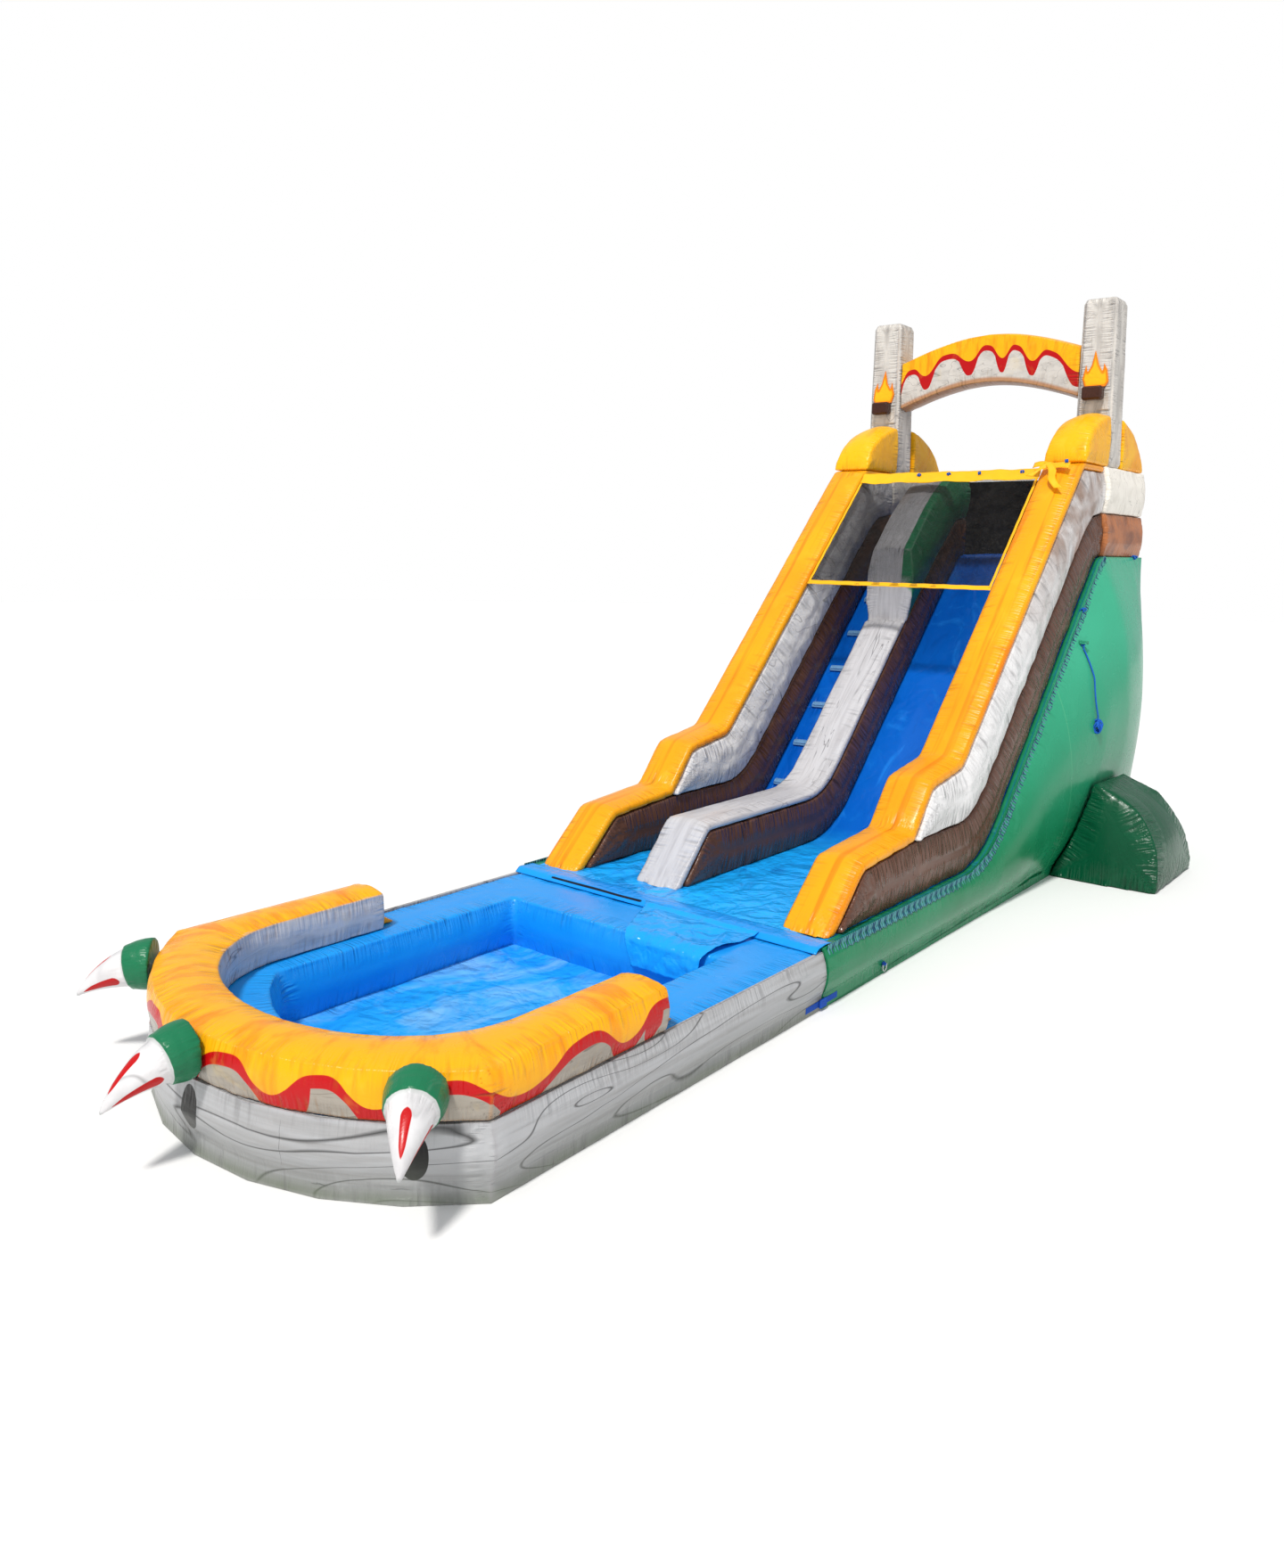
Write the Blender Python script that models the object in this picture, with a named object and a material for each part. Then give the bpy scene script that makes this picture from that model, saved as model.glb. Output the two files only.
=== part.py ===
"""Inflatable water slide: a tall slide with a climbing lane, joined to a splash pool.

Metres, +Z up.  The slide is drawn from the junction with its pool at y = 0: the pool lies
towards -Y, the slide rises towards +Y, and the climbing lane is on the -X side.  At the end
the whole model is moved so that its footprint is centred on the origin.
"""

import math

import bmesh
import bpy
from mathutils import Vector

# Clearances
SEAM_GAP = 0.0003

# Shares of a span at which rows and rings are drawn, and counts of steps
QUARTER_SHARES = (0.25, 0.5, 0.75)
FIFTH_SHARES = (0.2, 0.4, 0.6, 0.8)
THIRD_SHARES = (0.33, 0.66)
SWEEP_STEPS = 6
BEND_STEPS = 2
NOSE_STEPS = 8
MITRE_LIMIT_SHARE = 0.3
SMOOTH_ANGLE = math.radians(40.0)

# The lanes, seen from the side
FLAT_RUN = 2.93
SLOPE_ANGLE = math.radians(46.0)
FOOT_HEIGHT = 0.46
DECK_HEIGHT = 3.32
SWEEP_RADIUS = 1.15
CREST_RADIUS = 0.25
PLATFORM_DEPTH = 1.35
BED_THICKNESS = 0.03
BED_CROWN = 0.02
BED_SHARES = (0.0, 0.3, 0.7, 1.0)

# The lanes, seen from the front
SLIDE_LANE_WIDTH = 1.13
CLIMB_LANE_WIDTH = 0.53
DIVIDER_WIDTH = 0.46
WALL_WIDTH = 0.43
HULL_LEDGE = 0.06

# Side walls
BASE_TUBE_HEIGHT = 0.47
BASE_TUBE_BULGE = 0.035
PANEL_BULGE = 0.045
CAP_THICKNESS = 0.07
CAP_CROWN = 0.045
WALL_HEIGHT = 1.07
WALL_FOOT = 0.19
KERB_FRONT = 0.69
KERB_REAR = 1.525
KERB_FALL = 0.07
SHOULDER_FRONT = 1.84
SHOULDER_HEIGHT = 1.03
SHOULDER_FALL = 0.095
WALL_CORNER_RADIUS = 0.16
RAIL_HEIGHT = 0.98
BASE_START_SHARE = 0.1
PANEL_TIP_SHARE = 0.25

# Divider between the lanes
DIVIDER_FOOT = 0.36
DIVIDER_NOSE = 0.80
DIVIDER_NOSE_RADIUS = 0.12
DIVIDER_HEIGHT = 0.49
DIVIDER_CAP_THICKNESS = 0.06
DIVIDER_CAP_CROWN = 0.03
DIVIDER_BULGE = 0.03
CREST_FRONT_SHARE = 0.54
CREST_HEIGHT = 0.95
CREST_LEAN = 0.33
CREST_SIDE_BULGE = 0.06
CREST_CROWN = 0.03

# Climbing steps
STEP_COUNT = 7
STEP_PITCH = 0.537
STEP_FIRST = 0.43
STEP_WIDTH = 0.09
STEP_HEIGHT = 0.055
STEP_END_CLEARANCE = 0.03
STEP_END_FILL_SHARE = 0.75
STEP_RING_SHARES = (0.0, 0.2, 0.5, 0.8, 1.0)
STEP_SHARES = ((-1.0, -0.15), (1.0, -0.15), (0.9, 0.6), (0.4, 1.0), (-0.4, 1.0), (-0.9, 0.6))

# Hull below the lanes
HULL_SKIN = 0.02
HULL_BULGE_SHARE = 0.125
HULL_BULGE_POWER = 0.75
HULL_REAR_EASE = 1.3
HULL_SHARES = (0.0, 0.12, 0.3, 0.55, 0.8, 1.0)
BASE_STRIP = 0.10
BACK_BAND = 0.55
BACK_BULGE = 0.24
BACK_WIDTH_SHARES = (0.0, 0.12, 0.3, 0.5, 0.7, 0.88, 1.0)
REAR_SHARES = (0.25, 0.5, 0.75, 0.9, 1.0)
WEB_THICKNESS = 0.012
WEB_FRAME = 0.16
WEB_RUN_SHARES = (0.62, 0.86)

# Tower around the platform
TOWER_WIDTH = 0.46
TOWER_BULGE = 0.045
TOWER_SPLIT = 0.47
TOWER_SHARES = (0.0, 0.08, 0.5, 0.92, 1.0)

# Domes, pillars and arch
DOME_HALF_LENGTH = 0.99
DOME_HEIGHT = 0.56
DOME_CROWN = 0.06
DOME_ANGLES = (3, 12, 24, 38, 54, 70)
DOME_SIDE_BULGE = 0.02
PILLAR_WIDTH = 0.41
PILLAR_DEPTH = 0.44
PILLAR_HEIGHT = 1.84
PILLAR_TAPER = 0.02
PILLAR_CROWN = 0.025
PILLAR_OFFSET = 1.285
PILLAR_CHAMFER_SHARE = 0.8
PILLAR_SHARES = (0.0, 0.03, 0.35, 0.7, 0.97, 1.0)
ARCH_DEPTH = 0.30
ARCH_SPRING = 0.80
ARCH_THICKNESS = 0.54
ARCH_RISE = 0.25
ARCH_CROWN = 0.035
ARCH_SHARES = (-1.0, -0.8, -0.55, -0.28, 0.0, 0.28, 0.55, 0.8, 1.0)

# Torches on the pillars
BRACKET_WIDTH = 0.22
BRACKET_HEIGHT = 0.15
BRACKET_DEPTH = 0.12
BRACKET_BASE = 0.73
BRACKET_BEVEL = 0.02
FLAME_WIDTH = 0.29
FLAME_HEIGHT = 0.44
FLAME_THICKNESS = 0.012
FLAME_SHARES = (
    (-0.34, 0.00), (0.34, 0.00), (0.50, 0.20), (0.44, 0.48), (0.30, 0.66), (0.27, 0.44),
    (0.12, 0.62), (-0.04, 1.00), (-0.16, 0.62), (-0.30, 0.46), (-0.36, 0.66), (-0.49, 0.30),
)

# Nets
NET_THICKNESS = 0.010
NET_TOP_INSET = 0.07
NET_LENGTH = 1.76
NET_HEM_TOP = 0.10
NET_HEM_BOTTOM = 0.05
NET_BAR = 0.012
FRONT_NET_COLUMNS = 10
FRONT_NET_ROWS = 7
REAR_NET_COLUMNS = 9
REAR_NET_ROWS = 4
REAR_NET_SETBACK = 0.10
REAR_NET_HEIGHT = 0.93
NET_FOLD = 0.03

# Outriggers beside the hull
OUTRIGGER_REACH = 1.04
OUTRIGGER_SETBACK = 1.15
OUTRIGGER_LENGTH = 1.40
OUTRIGGER_RIDGE = 0.84
OUTRIGGER_HEIGHT = 0.98
OUTRIGGER_RIDGE_WIDTH = 0.07
OUTRIGGER_BULGE = 0.09
OUTRIGGER_SLACK = 0.015
OUTRIGGER_SLACK_SHARE = 0.125
OUTRIGGER_RISE_SHARES = (0.0, 0.12, 0.35, 0.6, 0.85, 1.0)
OUTRIGGER_INNER_SHARES = (-1.0, -0.5, 0.0, 0.5, 1.0)
OUTRIGGER_OUTER_SHARES = ((1.0, 0.5), (0.92, 1.0), (0.0, 1.0), (-0.92, 1.0), (-1.0, 0.5))

# Inflation sleeve and deflation zip at the back
SLEEVE_RADIUS = 0.13
SLEEVE_WALL = 0.008
SLEEVE_LENGTH = 0.42
SLEEVE_HEIGHT = 0.31
SLEEVE_OFFSET = 0.95
SLEEVE_SHARES = (0.0, 0.5, 1.0)
SLEEVE_SIDES = 14
ZIP_LENGTH = 0.90
ZIP_WIDTH = 0.05
ZIP_THICKNESS = 0.004
ZIP_HEIGHT = 0.24
ZIP_OFFSET = -0.75
SLIDER_LENGTH = 0.045
SLIDER_WIDTH = 0.024
SLIDER_THICKNESS = 0.012
SLIDER_TRAVEL = 0.80
SLIDER_BEVEL = 0.003

# Pool
POOL_HEIGHT = 0.43
POOL_SIDE = 3.23
POOL_NOSE = 0.74
POOL_WALL_WIDTH = 0.51
POOL_REAR_WALL = 0.60
POOL_INNER_NOSE = 0.45
POOL_INNER_SIDE = 2.80
POOL_BULGE = 0.05
POOL_FLOOR_THICKNESS = 0.03
SKIRT_THICKNESS = 0.03
SKIRT_BULGE = 0.04

# Horseshoe tube on the pool
SHOE_HEIGHT = 0.295
SHOE_WIDTH = 0.36
SHOE_INSET = 0.01
SHOE_END = 1.80
SHOE_BEND_LENGTH = 0.53
SHOE_INNER_NOSE = 0.89
SHOE_CORNER_STEP = 2
SHOE_STEPS = 14
SHOE_BULGE = 0.035
SHOE_CROWN = 0.045
SHOE_END_CROWN = 0.05
SHOE_SHOULDER_SHARE = 0.94
SHOE_CROWN_DIP_SHARE = 0.6
SHOE_CROWN_POWER = 0.5
GUSSET_LENGTH = 0.16
GUSSET_HEIGHT = 0.11
GUSSET_WIDTH = 0.22

# Claws round the nose
CLAW_STATION_SHIFT = 4
CLAW_ROOT_HEIGHT = 0.61
CLAW_LENGTH = 0.52
CLAW_TURN = math.radians(44.0)
COLLAR_LENGTH = 0.15
COLLAR_ROOT_RADIUS = 0.17
COLLAR_FRONT_RADIUS = 0.148
HORN_ROOT_RADIUS = 0.132
HORN_TIP_RADIUS = 0.010
CLAW_SIDES = 12
COLLAR_SHARES = ((0.0, 1.0), (0.35, 1.06), (0.75, 1.03), (1.0, 1.0))
HORN_SHARES = (0.0, 0.12, 0.3, 0.5, 0.7, 0.86, 0.96, 1.0)
HORN_TAPER_POWER = 1.2

# Flap over the junction
FLAP_FRONT = 0.055
FLAP_DEPTH = 0.13
FLAP_THICKNESS = 0.008
FLAP_WAVE = 0.006
FLAP_WAVE_COUNT = 3.5
FLAP_COLUMNS = 16
FLAP_SHARES = (0.0, 0.35, 0.65, 1.0)
TONGUE_WIDTH = 1.10
TONGUE_NARROWING = 0.50
TONGUE_DRIFT = 0.15
TONGUE_DROP = 0.22
TONGUE_STANDOFF = 0.07
TONGUE_LIFT = 0.006
TONGUE_THICKNESS = 0.006
TONGUE_FOLD = 0.022
TONGUE_FOLD_COUNT = 4
TONGUE_COLUMNS = 14
TONGUE_FOLD_TURN = 3.0
TONGUE_FOLD_SHARE = 0.5
TONGUE_EDGE_ANGLE = math.radians(60.0)
TONGUE_HANG_ANGLE = math.radians(90.0)

# Straps, anchor tabs and rings
STRAP_WIDTH = 0.045
STRAP_THICKNESS = 0.005
STRAP_LENGTH = 0.44
STRAP_HEIGHT = 0.055
BUCKLE_LENGTH = 0.09
BUCKLE_WIDTH = 0.065
BUCKLE_THICKNESS = 0.022
BUCKLE_BEVEL = 0.006
TAB_WIDTH = 0.040
TAB_HEIGHT = 0.040
TAB_STANDOFF = 0.014
TAB_AXIS_HEIGHT = 0.075
TAB_LOOP_WALL = 0.003
TAB_LOOP_SIDES = 8
RING_BAR_RADIUS = 0.004
RING_WIDTH = 0.062
RING_DROP = 0.052
RING_SIDES = 6
RING_STEPS = 6
RING_MITRE_SHARE = 0.5
SLIDE_ANCHOR_FRONT = 0.95
SLIDE_ANCHOR_SETBACK = 0.25

# Tie rope on the hull side
ROPE_DIAMETER = 0.016
ROPE_STATION = 4.95
ROPE_TOP_DROP = 0.14
ROPE_LENGTH = 0.78
ROPE_STANDOFF = 0.012
ROPE_TAB_SIZE = 0.035
ROPE_TAB_DEPTH = 0.085
ROPE_STEPS = 16
ROPE_WAVE_STEPS = 8
BUNDLE_RADIUS = 0.055
BUNDLE_HEIGHT = 0.12
BUNDLE_SIDES = 10
BUNDLE_FILL_SHARES = ((0.0, 0.35), (0.25, 0.9), (0.5, 1.0), (0.75, 0.95), (1.0, 0.6))

# Sizes that follow from those above
WALL_INNER = (SLIDE_LANE_WIDTH + CLIMB_LANE_WIDTH + DIVIDER_WIDTH) / 2
WALL_OUTER = WALL_INNER + WALL_WIDTH
HULL_HALF = WALL_OUTER + HULL_LEDGE
SHOE_OUTER_HALF = HULL_HALF - SHOE_INSET
SHOE_OUTER_NOSE = POOL_NOSE - SHOE_INSET
SHOE_INNER_HALF = SHOE_OUTER_HALF - SHOE_WIDTH
DIVIDER_LEFT = CLIMB_LANE_WIDTH - WALL_INNER
DIVIDER_RIGHT = DIVIDER_LEFT + DIVIDER_WIDTH
SLOPE_TAN = math.tan(SLOPE_ANGLE)
SLOPE_COS = math.cos(SLOPE_ANGLE)
CREST_CORNER = FLAT_RUN + (DECK_HEIGHT - FOOT_HEIGHT) / SLOPE_TAN
TOWER_FRONT = CREST_CORNER + CREST_RADIUS * math.tan(SLOPE_ANGLE / 2)
HULL_REAR = TOWER_FRONT + PLATFORM_DEPTH
SLIDE_ANCHOR_REAR = HULL_REAR - SLIDE_ANCHOR_SETBACK
OUTRIGGER_FRONT = HULL_REAR - OUTRIGGER_SETBACK - OUTRIGGER_LENGTH
TOWER_TOP = DECK_HEIGHT + RAIL_HEIGHT
CAP_FOOT = FOOT_HEIGHT + 2 * SEAM_GAP
KERB_TOP = FOOT_HEIGHT + BASE_TUBE_HEIGHT + CAP_THICKNESS
SHOULDER_TOP = FOOT_HEIGHT + SHOULDER_HEIGHT
DOME_CENTRE = HULL_REAR - DOME_HALF_LENGTH
SHOE_STRAIGHT = POOL_SIDE - SHOE_BEND_LENGTH
PILLAR_FRONT = DOME_CENTRE - PILLAR_DEPTH / 2
ANCHORS = (("front", SLIDE_ANCHOR_FRONT), ("rear", SLIDE_ANCHOR_REAR))


def clear_scene():
    """Remove whatever the scene holds before the model is built."""
    for thing in list(bpy.data.objects):
        bpy.data.objects.remove(thing, do_unlink=True)


def finish(name, red, green, blue, roughness, metallic=0.0):
    """A plain Principled material."""
    material = bpy.data.materials.new(name)
    material.use_nodes = True
    shader = material.node_tree.nodes["Principled BSDF"]
    shader.inputs["Base Color"].default_value = (red, green, blue, 1.0)
    shader.inputs["Roughness"].default_value = roughness
    shader.inputs["Metallic"].default_value = metallic
    material.diffuse_color = (red, green, blue, 1.0)
    return material


def make_finishes():
    """The vinyls, webbing, mesh and metal of the slide."""
    return {
        "yellow": finish("yellow_vinyl", 0.95, 0.42, 0.01, 0.35),
        "brown": finish("brown_vinyl", 0.07, 0.02, 0.012, 0.25),
        "grey": finish("marbled_vinyl", 0.50, 0.49, 0.50, 0.35),
        "tan": finish("tan_vinyl", 0.50, 0.20, 0.09, 0.40),
        "blue": finish("blue_vinyl", 0.01, 0.15, 0.66, 0.30),
        "green": finish("green_vinyl", 0.01, 0.20, 0.08, 0.30),
        "black": finish("black_mesh", 0.01, 0.01, 0.01, 0.70),
        "webbing": finish("blue_webbing", 0.01, 0.08, 0.45, 0.75),
        "steel": finish("plated_steel", 0.60, 0.60, 0.62, 0.30, 1.0),
        "plastic": finish("black_plastic", 0.015, 0.015, 0.015, 0.45),
    }


def add_object(name, bm, material):
    """Turn a bmesh into a named object whose faces point outwards."""
    bmesh.ops.recalc_face_normals(bm, faces=bm.faces)
    mesh = bpy.data.meshes.new(name)
    bm.to_mesh(mesh)
    bm.free()
    mesh.materials.append(material)
    mesh.shade_smooth()
    mesh.set_sharp_from_angle(angle=SMOOTH_ANGLE)
    thing = bpy.data.objects.new(name, mesh)
    bpy.context.scene.collection.objects.link(thing)
    return thing


def fuse(thing, name, bm):
    """Join extra shapes to an object, as pieces sewn or welded to it."""
    guide = add_object(name, bm, thing.data.materials[0])
    guide.hide_render = True
    guide.display_type = "WIRE"
    union = thing.modifiers.new(name, "BOOLEAN")
    union.operation = "UNION"
    union.solver = "EXACT"
    union.object = guide


def move_onto_joint(thing, point):
    """Put the object's origin on its joint without moving its shape."""
    for vertex in thing.data.vertices:
        vertex.co -= Vector(point)
    thing.location = point


def skin_rings(bm, rings, closed=False, cap_crown=0.0):
    """Join rings of points into a skin; open ends are capped, with a crown if asked for."""
    rows = [[bm.verts.new(point) for point in ring] for ring in rings]
    count = len(rows[0])
    pairs = list(zip(rows, rows[1:]))
    if closed:
        pairs.append((rows[-1], rows[0]))
    for first, second in pairs:
        for i in range(count):
            j = (i + 1) % count
            bm.faces.new((first[i], first[j], second[j], second[i]))
    if closed:
        return
    for row, inner in ((rows[0], rows[1]), (rows[-1], rows[-2])):
        if cap_crown == 0.0:
            bm.faces.new(row)
            continue
        centre = sum((v.co for v in row), Vector()) / count
        behind = sum((v.co for v in inner), Vector()) / count
        peak = bm.verts.new(centre + (centre - behind).normalized() * cap_crown)
        for i in range(count):
            bm.faces.new((row[i], row[(i + 1) % count], peak))


def loft(name, rings, material, closed=False, cap_crown=0.0):
    """One closed body through a row of rings."""
    bm = bmesh.new()
    skin_rings(bm, rings, closed, cap_crown)
    return add_object(name, bm, material)


def prism(bm, outline, x_low, x_high):
    """A (y, z) outline drawn out along X."""
    skin_rings(bm, [[(x, y, z) for y, z in outline] for x in (x_low, x_high)])


def panel(bm, outer, inner):
    """A closed panel between two equal grids of points, each a list of rows."""
    outer_rows = [[bm.verts.new(point) for point in row] for row in outer]
    inner_rows = [[bm.verts.new(point) for point in row] for row in inner]
    for rows in (outer_rows, inner_rows):
        for low, high in zip(rows, rows[1:]):
            for i in range(len(low) - 1):
                bm.faces.new((low[i], low[i + 1], high[i + 1], high[i]))
    rims = []
    for rows in (outer_rows, inner_rows):
        right = [row[-1] for row in rows[1:]]
        top = list(reversed(rows[-1][:-1]))
        left = [row[0] for row in reversed(rows[1:-1])]
        rims.append(rows[0] + right + top + left)
    outer_rim, inner_rim = rims
    for i in range(len(outer_rim)):
        j = (i + 1) % len(outer_rim)
        bm.faces.new((outer_rim[i], outer_rim[j], inner_rim[j], inner_rim[i]))


def bevelled_box(bm, centre, size, bevel):
    """A box with its edges rounded off."""
    made = bmesh.ops.create_cube(bm, size=1.0)
    bmesh.ops.scale(bm, vec=Vector(size), verts=made["verts"])
    bmesh.ops.translate(bm, vec=Vector(centre), verts=made["verts"])
    edges = list({edge for vertex in made["verts"] for edge in vertex.link_edges})
    bmesh.ops.bevel(bm, geom=edges, offset=bevel, segments=1, affect="EDGES")


def swell(share):
    """How full an inflated face is at a share of the way across it."""
    return math.sin(math.pi * min(max(share, 0.0), 1.0))


def between(first, second, share):
    """The point at a share of the way from one point to another."""
    return first + (second - first) * share


def filleted(corners, radii, steps):
    """A (y, z) path through corners, each inner corner rounded by its own radius."""
    points = [Vector(corners[0])]
    for before, corner, after, radius in zip(corners, corners[1:], corners[2:], radii):
        corner = Vector(corner)
        back = (Vector(before) - corner).normalized()
        ahead = (Vector(after) - corner).normalized()
        half = back.angle(ahead) / 2
        if radius == 0.0:
            points.append(corner)
            continue
        reach = radius / math.tan(half)
        centre = corner + (back + ahead).normalized() * (radius / math.sin(half))
        start = corner + back * reach - centre
        turn = start.angle_signed(corner + ahead * reach - centre)
        for step in range(steps + 1):
            angle = -turn * step / steps
            turned = Vector((
                start.x * math.cos(angle) - start.y * math.sin(angle),
                start.x * math.sin(angle) + start.y * math.cos(angle),
            ))
            points.append(centre + turned)
    points.append(Vector(corners[-1]))
    return points


def offset_path(points, distance):
    """A path moved sideways, upwards for a positive distance on a path that runs to +Y."""
    moved = []
    for i, point in enumerate(points):
        before = points[max(i - 1, 0)]
        after = points[min(i + 1, len(points) - 1)]
        first = (point - before).normalized() if i else (after - point).normalized()
        second = (after - point).normalized() if i < len(points) - 1 else first
        along = (first + second).normalized()
        normal = Vector((-along.y, along.x))
        moved.append(point + normal * (distance / max(along.dot(first), MITRE_LIMIT_SHARE)))
    return moved


class Path:
    """A (y, z) path that can be read by distance along it or by y."""

    def __init__(self, points):
        self.points = points
        self.marks = [0.0]
        for first, second in zip(points, points[1:]):
            self.marks.append(self.marks[-1] + (second - first).length)
        self.length = self.marks[-1]

    def locate(self, distance):
        """The piece of the path that a distance falls in, and the share of the way along it."""
        distance = min(max(distance, 0.0), self.length)
        i = 0
        while i < len(self.points) - 2 and self.marks[i + 1] < distance:
            i += 1
        return i, (distance - self.marks[i]) / (self.marks[i + 1] - self.marks[i])

    def place(self, distance):
        """The point and the upward normal at a distance along the path."""
        i, share = self.locate(distance)
        first, second = self.points[i], self.points[i + 1]
        along = (second - first).normalized()
        return between(first, second, share), Vector((-along.y, along.x))

    def beside(self, others, distance):
        """The same place on a path drawn point for point beside this one."""
        i, share = self.locate(distance)
        return between(others[i], others[i + 1], share)

    def distance_at(self, y):
        """How far along the path it reaches y."""
        for i, (first, second) in enumerate(zip(self.points, self.points[1:])):
            if second.x >= y:
                share = (y - first.x) / (second.x - first.x)
                return self.marks[i] + share * (second - first).length
        return self.length

    def height(self, y):
        """The height of the path at y."""
        return self.place(self.distance_at(y))[0].y


def deck_path():
    """The sliding surface: flat run, sweep up, straight slope and the crest at the platform."""
    corners = [
        (0.0, FOOT_HEIGHT),
        (FLAT_RUN, FOOT_HEIGHT),
        (CREST_CORNER, DECK_HEIGHT),
        (TOWER_FRONT, DECK_HEIGHT),
    ]
    start = filleted(corners[:3], [SWEEP_RADIUS], SWEEP_STEPS)[:-1]
    crest = filleted(corners[1:], [CREST_RADIUS], 2)[1:]
    flat = [start[0], Vector((FLAP_DEPTH + SEAM_GAP, FOOT_HEIGHT))]
    flat += [between(start[0], start[1], share) for share in THIRD_SHARES]
    slope = [between(start[-1], crest[0], share) for share in FIFTH_SHARES]
    return Path(flat + start[1:] + slope + crest[:-1])


DECK = deck_path()


def rail_y(height):
    """Where the straight top of a side wall passes a height above the flat run."""
    return FLAT_RUN + (height - WALL_HEIGHT / SLOPE_COS) / SLOPE_TAN


def lane_rows(points, lift):
    """Matching rows of points: the deck, the top seam of a tube on it, and a line above both."""
    line = Path(points)
    raised = offset_path(DECK.points, lift)
    first = DECK.distance_at(points[0].x)
    run = DECK.length - first
    shares = [mark / line.length for mark in line.marks]
    shares += [(mark - first) / run for mark in DECK.marks if first < mark < DECK.length]
    shares.sort()
    low = [DECK.place(first + run * share)[0] for share in shares]
    high = [DECK.beside(raised, first + run * share) for share in shares]
    return low, high, [line.place(line.length * share)[0] for share in shares]


def wall_lines():
    """The seams of a side wall: deck, top of the base tube, underside and top of the cap."""
    shoulder = rail_y(SHOULDER_HEIGHT)
    peak = rail_y(TOWER_TOP - FOOT_HEIGHT)
    kerb = [
        (WALL_FOOT, CAP_FOOT),
        (KERB_FRONT, KERB_TOP - KERB_FALL),
        (KERB_REAR, KERB_TOP),
    ]
    rise = [
        (KERB_REAR, KERB_TOP),
        (SHOULDER_FRONT, SHOULDER_TOP - SHOULDER_FALL),
        (shoulder, SHOULDER_TOP),
        (peak, TOWER_TOP),
        (TOWER_FRONT, TOWER_TOP),
    ]
    front = filleted(kerb, [WALL_CORNER_RADIUS], 3)
    bends = filleted(rise, [WALL_CORNER_RADIUS] * 3, BEND_STEPS)
    last = 3 * BEND_STEPS
    straight = [between(bends[last], bends[last + 1], share) for share in QUARTER_SHARES]
    back = bends[1:last + 1] + straight + bends[last + 1:]
    top = front + back
    under = offset_path(top, -CAP_THICKNESS)
    under[0] = between(under[0], under[1], (CAP_FOOT - under[0].y) / (under[1].y - under[0].y))
    corner = len(front) - 1
    deck_low, tube_high, seam = lane_rows(under[corner:], BASE_TUBE_HEIGHT)
    tube_high[-1] = Vector((TOWER_FRONT, DECK_HEIGHT + BASE_TUBE_HEIGHT))
    base_start = between(under[0], under[1], BASE_START_SHARE)
    base_high = [base_start] + under[1:corner + 1] + tube_high[1:]
    base_low = [Vector((point.x, FOOT_HEIGHT)) for point in base_high[:corner + 1]] + deck_low[1:]
    tip_low = between(under[corner], tube_high[1], PANEL_TIP_SHARE)
    tip_high = between(seam[0], seam[1], PANEL_TIP_SHARE)
    return {
        "base": (base_low, base_high),
        "panel": ([tip_low] + tube_high[1:], [tip_high] + seam[1:]),
        "cap": (under, top),
    }


def chamber_ring(low, high, x_low, x_high, side_bulge, crown, side_steps=3, crown_steps=3):
    """One section of an inflated chamber between two seams of a side view."""
    rise = high - low
    ring = [(x_low, low.x, low.y), (x_high, low.x, low.y)]
    for step in range(1, side_steps + 1):
        share = step / (side_steps + 1)
        point = between(low, high, share)
        ring.append((x_high + side_bulge * swell(share), point.x, point.y))
    ring.append((x_high, high.x, high.y))
    for step in range(1, crown_steps + 1):
        share = step / (crown_steps + 1)
        point = high + rise.normalized() * crown * swell(share)
        ring.append((x_high + (x_low - x_high) * share, point.x, point.y))
    ring.append((x_low, high.x, high.y))
    for step in range(side_steps, 0, -1):
        share = step / (side_steps + 1)
        point = between(low, high, share)
        ring.append((x_low - side_bulge * swell(share), point.x, point.y))
    return ring


def chamber(name, rows, x_range, material, side_bulge, crown=0.0, steps=(2, 0),
            flat_from=math.inf):
    """An inflated chamber that runs along two seams; its top is level beyond flat_from."""
    low = offset_path(rows[0], SEAM_GAP)
    x_low, x_high = sorted(x_range)
    rings = []
    for below, above in zip(low, rows[1]):
        rise = crown if above.x < flat_from else 0.0
        rings.append(chamber_ring(below, above, x_low, x_high, side_bulge, rise, *steps))
    return loft(name, rings, material)


def build_side_walls(finishes):
    """Both side walls: a base tube, a marbled panel and a yellow cap each."""
    lines = wall_lines()
    level = rail_y(TOWER_TOP - FOOT_HEIGHT) - WALL_CORNER_RADIUS / 4
    for side, word in ((1, "right"), (-1, "left")):
        x_range = (side * WALL_INNER, side * WALL_OUTER)
        chamber("wall_base_" + word, lines["base"], x_range, finishes["brown"], BASE_TUBE_BULGE)
        chamber("wall_panel_" + word, lines["panel"], x_range, finishes["grey"], PANEL_BULGE)
        chamber("wall_cap_" + word, lines["cap"], x_range, finishes["yellow"], 0.0,
                CAP_CROWN, (0, 3), level)


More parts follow.
